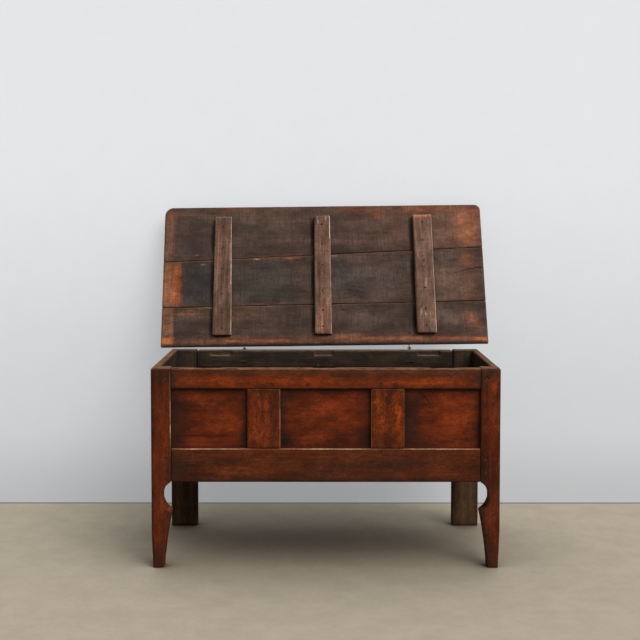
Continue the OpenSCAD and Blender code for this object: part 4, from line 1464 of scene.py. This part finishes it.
    def _end_rails(self) -> list[Board]:
        """List the rails of the two ends.

        Returns:
            The boards.
        """
        top, bottom = (self.sight_high, self.height), (self.leg, self.sight_low)
        rows = (
            ("end_top_rail_left", top, -1.0, (0.7, 0.95)),
            ("end_bottom_rail_left", bottom, -1.0, (0.55, 0.72)),
            ("end_top_rail_right", top, 1.0, (0.7, 0.95)),
            ("end_bottom_rail_right", bottom, 1.0, (0.55, 0.72)),
        )
        return [
            self._end(
                node, FRAME_OAK, heights, side,
                level=side * self.half_width,
                thickness=self.end_thickness,
                turns=turns,
                wear=self.rails_wear,
                seed=31.0 + 1.3 * number,
            )
            for number, (node, heights, side, turns) in enumerate(rows)
        ]

    def _end_panels(self) -> list[Board]:
        """List the panels of the two ends.

        Returns:
            The boards.
        """
        return [
            self._end(
                f"end_panel_{name}", PANEL_OAK, (self.sight_low, self.sight_high), side,
                level=side * (self.half_width - self.end_panel_set),
                thickness=self.panel_thickness,
                grimy_edges=(0.8, 0.8, 0.6, 0.7),
                grime_width=0.04,
                wear=self.panels_wear,
                seed=seed,
            )
            for name, side, seed in (("left", -1.0, 37.3), ("right", 1.0, 39.9))
        ]

    def _floor(self) -> list[Board]:
        """List the five floor boards.

        Returns:
            The boards.
        """
        rows = [(number, *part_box(f"floor_board_{number}")) for number in range(1, 6)]
        return [
            Board(
                f"floor_board_{number}", FLOOR_OAK, Grain.UPRIGHT, (low.x, low.y), (high.x, high.y),
                self.floor_top, self.floor_thickness, Plane.FLOOR, -1.0,
                wear=self.hidden_wear,
                seed=40.0 + number * 1.9,
            )
            for number, low, high in rows
        ]


@dataclass
class Lid:
    """The boarded lid with its three battens, in metres from the hinge edge of the shut lid."""

    half_width: float = 0.615
    depth: float = 0.560
    thickness: float = 0.021
    underside: float = -0.0017
    front_joint: float = 0.359
    rear_joint: float = 0.159
    batten_start: float = 0.037
    batten_end: float = 0.513
    batten_thickness: float = 0.020
    board_wear: Wear = Wear(hollows=0.9, arrises=0.5)
    batten_wear: Wear = Wear(hollows=0.9, arrises=1.5, bend=1.2)
    crack: Crack = Crack((0.497, 0.280), (0.618, 0.304), 0.0030, 0.012)

    def build(self, timber: WornTimber) -> None:
        """Make every board of the lid.

        Args:
            timber: What makes the worn boards.
        """
        for slot, boards in (("lid_oak", self._boards()), ("batten_oak", self._battens())):
            for board in boards:
                timber.build(board, "lid", slot)

    def _boards(self) -> list[Board]:
        """List the lid's three boards.

        Returns:
            The boards.
        """
        front, rear = self.front_joint, self.rear_joint
        cracked = replace(self.board_wear, crack=self.crack)
        return [
            Board(
                node, LID_OAK, Grain.LEVEL, (-self.half_width, start), (self.half_width, end),
                self.underside, self.thickness, Plane.LID,
                reverse=FRAME_OAK,
                grimy_edges=(0.3, 0.2, 0.0, 0.0),
                grime_width=0.006,
                slopes=slopes,
                patches=LID_MARKS[node],
                wear=wear,
                seed=seed,
            )
            for node, start, end, slopes, wear, seed in (
                ("lid_board_front", front, self.depth, (FRONT_SLOPE, 0.0), self.board_wear, 60.0),
                ("lid_board_middle", rear, front, (REAR_SLOPE, FRONT_SLOPE), cracked, 62.3),
                ("lid_board_rear", 0.0, rear, (0.0, REAR_SLOPE), self.board_wear, 64.1),
            )
        ]

    def _battens(self) -> list[Board]:
        """List the lid's three battens.

        Returns:
            The boards.
        """
        return [
            Board(
                node, BATTEN_OAK, Grain.UPRIGHT, (middle - width / 2, self.batten_start),
                (middle + width / 2, self.batten_end), self.underside - self.batten_thickness,
                self.batten_thickness, Plane.LID,
                # Pale edges, most on the right, are wear and a painted highlight on the side facing the
                # light; the dark left edge is grime and painted shade
                worn_and_highlit_edges=(0.0, 1.0, 0.2, 0.3),
                worn_and_highlit_reach=0.014,
                grimy_edges=(0.45, 0.0, 0.2, 0.1),
                grime_width=0.01,
                patches=LID_MARKS[node],
                wear=self.batten_wear,
                seed=seed,
            )
            for node, middle, width, seed in (
                ("batten_left", -0.3855, 0.073, 70.0),
                ("batten_middle", -0.0045, 0.064, 72.4),
                ("batten_right", 0.3835, 0.076, 74.9),
            )
        ]


@dataclass(frozen=True)
class IronFinish:
    """Old hand-worked iron: dark scale with rust in patches."""

    name: str = "wrought_iron"
    scale: Colour = shade(42, 37, 34)
    rust: Colour = shade(92, 52, 32)

    def paint(self) -> bpy.types.Material:
        """Make the material.

        Returns:
            The material.
        """
        material, graph, shader = new_material(self.name)
        here = graph.fed("ShaderNodeTexCoord", {}, "Object")
        patches = graph.step(graph.noise(here, 160.0, 4.0, 0.65), 0.42, 0.62)
        graph.feed(shader.inputs["Base Color"], graph.blend(patches, self.scale, self.rust))
        graph.feed(shader.inputs["Metallic"], graph.step(patches, 0.0, 1.0, 0.8, 0.1))
        graph.feed(shader.inputs["Roughness"], graph.step(patches, 0.0, 1.0, 0.5, 0.85))
        graph.bump(shader, graph.noise(here, 420.0, 4.0, 0.6), 0.6, 0.0004)
        return material


@dataclass(frozen=True)
class PegFinish:
    """The end grain of the draw-pegs, dark with handling."""

    name: str = "peg_oak"
    dark: Colour = shade(62, 27, 12)
    light: Colour = shade(98, 40, 14)

    def paint(self) -> bpy.types.Material:
        """Make the material.

        Returns:
            The material.
        """
        material, graph, shader = new_material(self.name)
        here = graph.fed("ShaderNodeTexCoord", {}, "Object")
        rays = graph.step(graph.noise(here, 500.0, 3.0, 0.6), 0.35, 0.65)
        clouds = graph.step(graph.noise(here, 9.0, 2.0), 0.3, 0.6, 0.4, 1.0)
        colour = graph.blend(graph.times(rays, clouds), self.dark, self.light)
        graph.feed(shader.inputs["Base Color"], colour)
        graph.feed(shader.inputs["Roughness"], graph.step(rays, 0.0, 1.0, 0.5, 0.7))
        shader.inputs["Specular IOR Level"].default_value = 0.3
        graph.bump(shader, rays, 0.5, 0.0005)
        return material


@dataclass
class Fastenings:
    """The pegs, nails and hinge cotters, whose forms come from the frame as they are."""

    iron: IronFinish = IronFinish()
    peg: PegFinish = PegFinish()
    rear_peg: PegFinish = PegFinish("rear_peg_oak", shade(48, 36, 27), shade(86, 66, 50))

    def dress(self, ledge: bpy.types.Material) -> None:
        """Give every node that has no worn board its material.

        Args:
            ledge: The material of the hidden ledges.
        """
        finishes = {"rear_pegs": self.rear_peg.paint(), "pegs": self.peg.paint(), "floor_ledge": ledge}
        iron = self.iron.paint()
        for node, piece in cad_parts.items():
            if piece.hide_render:
                continue
            piece.data.materials.clear()
            piece.data.materials.append(next((finishes[part] for part in finishes if part in node), iron))
            LOG.info("dressed %s", node)


@dataclass(frozen=True)
class Lamp:
    """A broad soft light: how strong it is, how wide it looks in degrees and which way it shines."""

    name: str
    energy: float
    width: float
    heading: tuple[float, float, float]

    def hang(self) -> None:
        """Add the light to the scene."""
        data = bpy.data.lights.new(self.name, "SUN")
        data.angle, data.energy = math.radians(self.width), self.energy
        lamp = bpy.data.objects.new(self.name, data)
        lamp.rotation_euler = Vector(self.heading).to_track_quat("-Z", "Y").to_euler()
        bpy.context.scene.collection.objects.link(lamp)


@dataclass
class Studio:
    """A plain pale floor and wall, soft light and the camera at the photograph's place."""

    camera_place: tuple[float, float, float] = (-0.0254, -3.9497, 1.1505)
    focal_pixels: float = 1102.5
    pitch: float = 2.66
    yaw: float = -0.098
    roll: float = -0.045
    axis_row: float = 267.6
    sensor: float = 36.0
    sight: float = 200.0
    wall: float = 0.424
    reach: float = 60.0
    window: Lamp = Lamp("window_light", 2.05, 38.0, (-0.45, 0.72, -0.70))
    side: Lamp = Lamp("side_light", 0.9, 50.0, (-0.95, 0.20, -0.62))

    # The share of the wall's light that no shadow takes away
    GLOW: ClassVar[float] = 0.5
    # Painted shade on the wall: two heights and how bright it is at them, over all of it, at its foot, and
    # in the dark gap under it
    WALL_PAINTED_SHADE: ClassVar[tuple[Sides, ...]] = (
        (0.0, 1.5, 0.69, 0.90),
        (0.0, 0.32, 0.84, 1.0),
        (0.003, 0.006, 0.35, 1.0),
    )
    # How far from the coffer the floor's painted shadow reaches, and its darkest shade
    PAINTED_SHADOW_REACH: ClassVar[float] = 0.7
    FLOOR_PAINTED_SHADOW: ClassVar[Colour] = shade(84, 72, 60)

    def build(self) -> None:
        """Make the floor, the wall, the light and the camera."""
        self._floor()
        self._wall()
        self.window.hang()
        self.side.hang()
        self._sky()
        self._camera()

    def _plane(self, name: str, low: Colour, high: Colour) -> tuple[bpy.types.Object, Graph, Node, Socket]:
        """Lay a great plane with a plain mottled finish.

        Args:
            name: Its name.
            low: Its darker shade.
            high: Its lighter shade.

        Returns:
            The plane, its material's graph and shader, and the mottled colour.
        """
        bpy.ops.object.select_all(action="DESELECT")
        bpy.ops.mesh.primitive_plane_add(size=self.reach, location=(0.0, 0.0, 0.0))
        plane = bpy.context.active_object
        plane.name = name
        material, graph, shader = new_material(name)
        here = graph.fed("ShaderNodeTexCoord", {}, "Object")
        paint = graph.blend(graph.step(graph.noise(here, 9.0, 6.0, 0.75), 0.3, 0.7), low, high)
        shader.inputs["Roughness"].default_value = 0.75
        shader.inputs["Specular IOR Level"].default_value = 0.15
        plane.data.materials.append(material)
        return plane, graph, shader, paint

    def _floor(self) -> None:
        """Lay a plain pale floor with a painted shadow that darkens it close to the coffer."""
        _, graph, shader, paint = self._plane("studio_floor", shade(163, 152, 132), shade(173, 161, 141))
        near = graph.fed("ShaderNodeAmbientOcclusion", {"Distance": self.PAINTED_SHADOW_REACH}, "AO", samples=8)
        open_sky = graph.step(near, 0.15, 0.95)
        graph.feed(shader.inputs["Base Color"], graph.blend(open_sky, self.FLOOR_PAINTED_SHADOW, paint))

    def _wall(self) -> None:
        """Stand a pale wall behind the coffer that only shows from its front, with painted shade darkening
        it towards its foot and a glow that keeps shadows on it faint.
        """
        wall, graph, shader, paint = self._plane("studio_wall", shade(247, 250, 255), shade(249, 252, 255))
        wall.rotation_euler = (math.radians(90.0), 0.0, 0.0)
        wall.location = (0.0, self.wall, 0.0)
        bpy.ops.object.transform_apply(location=True, rotation=True, scale=True)
        wall.visible_diffuse = wall.visible_glossy = wall.visible_shadow = False
        up = graph.separate(graph.fed("ShaderNodeTexCoord", {}, "Object"))[2]
        for ramp in self.WALL_PAINTED_SHADE:
            paint = graph.scale(paint, graph.step(up, *ramp))
        graph.feed(shader.inputs["Base Color"], graph.scale(paint, 1.0 - self.GLOW))
        graph.feed(shader.inputs["Emission Color"], paint)
        shader.inputs["Emission Strength"].default_value = self.GLOW
        backfacing = graph.fed("ShaderNodeNewGeometry", {}, "Backfacing")
        clear = graph.fed("ShaderNodeBsdfTransparent", {})
        seen = graph.fed("ShaderNodeMixShader", {0: backfacing, 1: shader.outputs[0], 2: clear})
        graph.feed(graph.tree.nodes["Material Output"].inputs["Surface"], seen)

    def _sky(self) -> None:
        """Give an even light from above and behind, and a pale background."""
        world = bpy.data.worlds.new("studio")
        bpy.context.scene.world = world
        world.use_nodes = True
        graph = Graph(world.node_tree)
        shader = world.node_tree.nodes["Background"]
        # Above brightens from the horizon up, and behind from the coffer's front to its back
        _, back, up = graph.separate(graph.fed("ShaderNodeTexCoord", {}, "Generated"))
        seen = graph.fed("ShaderNodeLightPath", {}, "Is Camera Ray")
        above = graph.step(up, 0.08, 1.0, 0.03, 0.8)
        behind = graph.times(graph.step(back, -0.2, 0.8, 0.0, 0.3), graph.step(up, 0.1, 0.6))
        strength = graph.math("ADD", above, behind)
        graph.feed(shader.inputs["Color"], graph.blend(seen, (0.93, 0.97, 1.0), shade(222, 224, 227)))
        graph.feed(shader.inputs["Strength"], graph.step(seen, 0.0, 1.0, strength, 1.0))
        bpy.context.scene.view_settings.view_transform = "Standard"

    def _camera(self) -> None:
        """Set up the camera."""
        data = bpy.data.cameras.new("camera")
        data.sensor_width = self.sensor
        data.lens = self.focal_pixels / PICTURE_SIDE * self.sensor
        data.shift_y = (self.axis_row - PICTURE_SIDE / 2) / PICTURE_SIDE
        data.clip_end = self.sight
        camera = bpy.data.objects.new("camera", data)
        camera.location = self.camera_place
        turn = (90.0 - self.pitch, self.roll, self.yaw)
        camera.rotation_euler = tuple(math.radians(angle) for angle in turn)
        bpy.context.scene.collection.objects.link(camera)
        bpy.context.scene.camera = camera


def main() -> None:
    """Make every worn board, dress the rest and set up the studio."""
    logging.basicConfig(level=logging.INFO, format="%(message)s")
    effects = SharedEffects()
    timber = WornTimber(effects)
    Case().build(timber)
    Lid().build(timber)
    place = ((-0.5, -0.4), (0.5, 0.2), 0.31, 0.022, Plane.FLOOR, -1.0)
    ledge = Board("floor_ledge", FLOOR_OAK, Grain.LEVEL, *place, seed=53.0)
    Fastenings().dress(OakPaint(effects, ledge).finish())
    Studio().build()


if __name__ == "__main__":
    main()
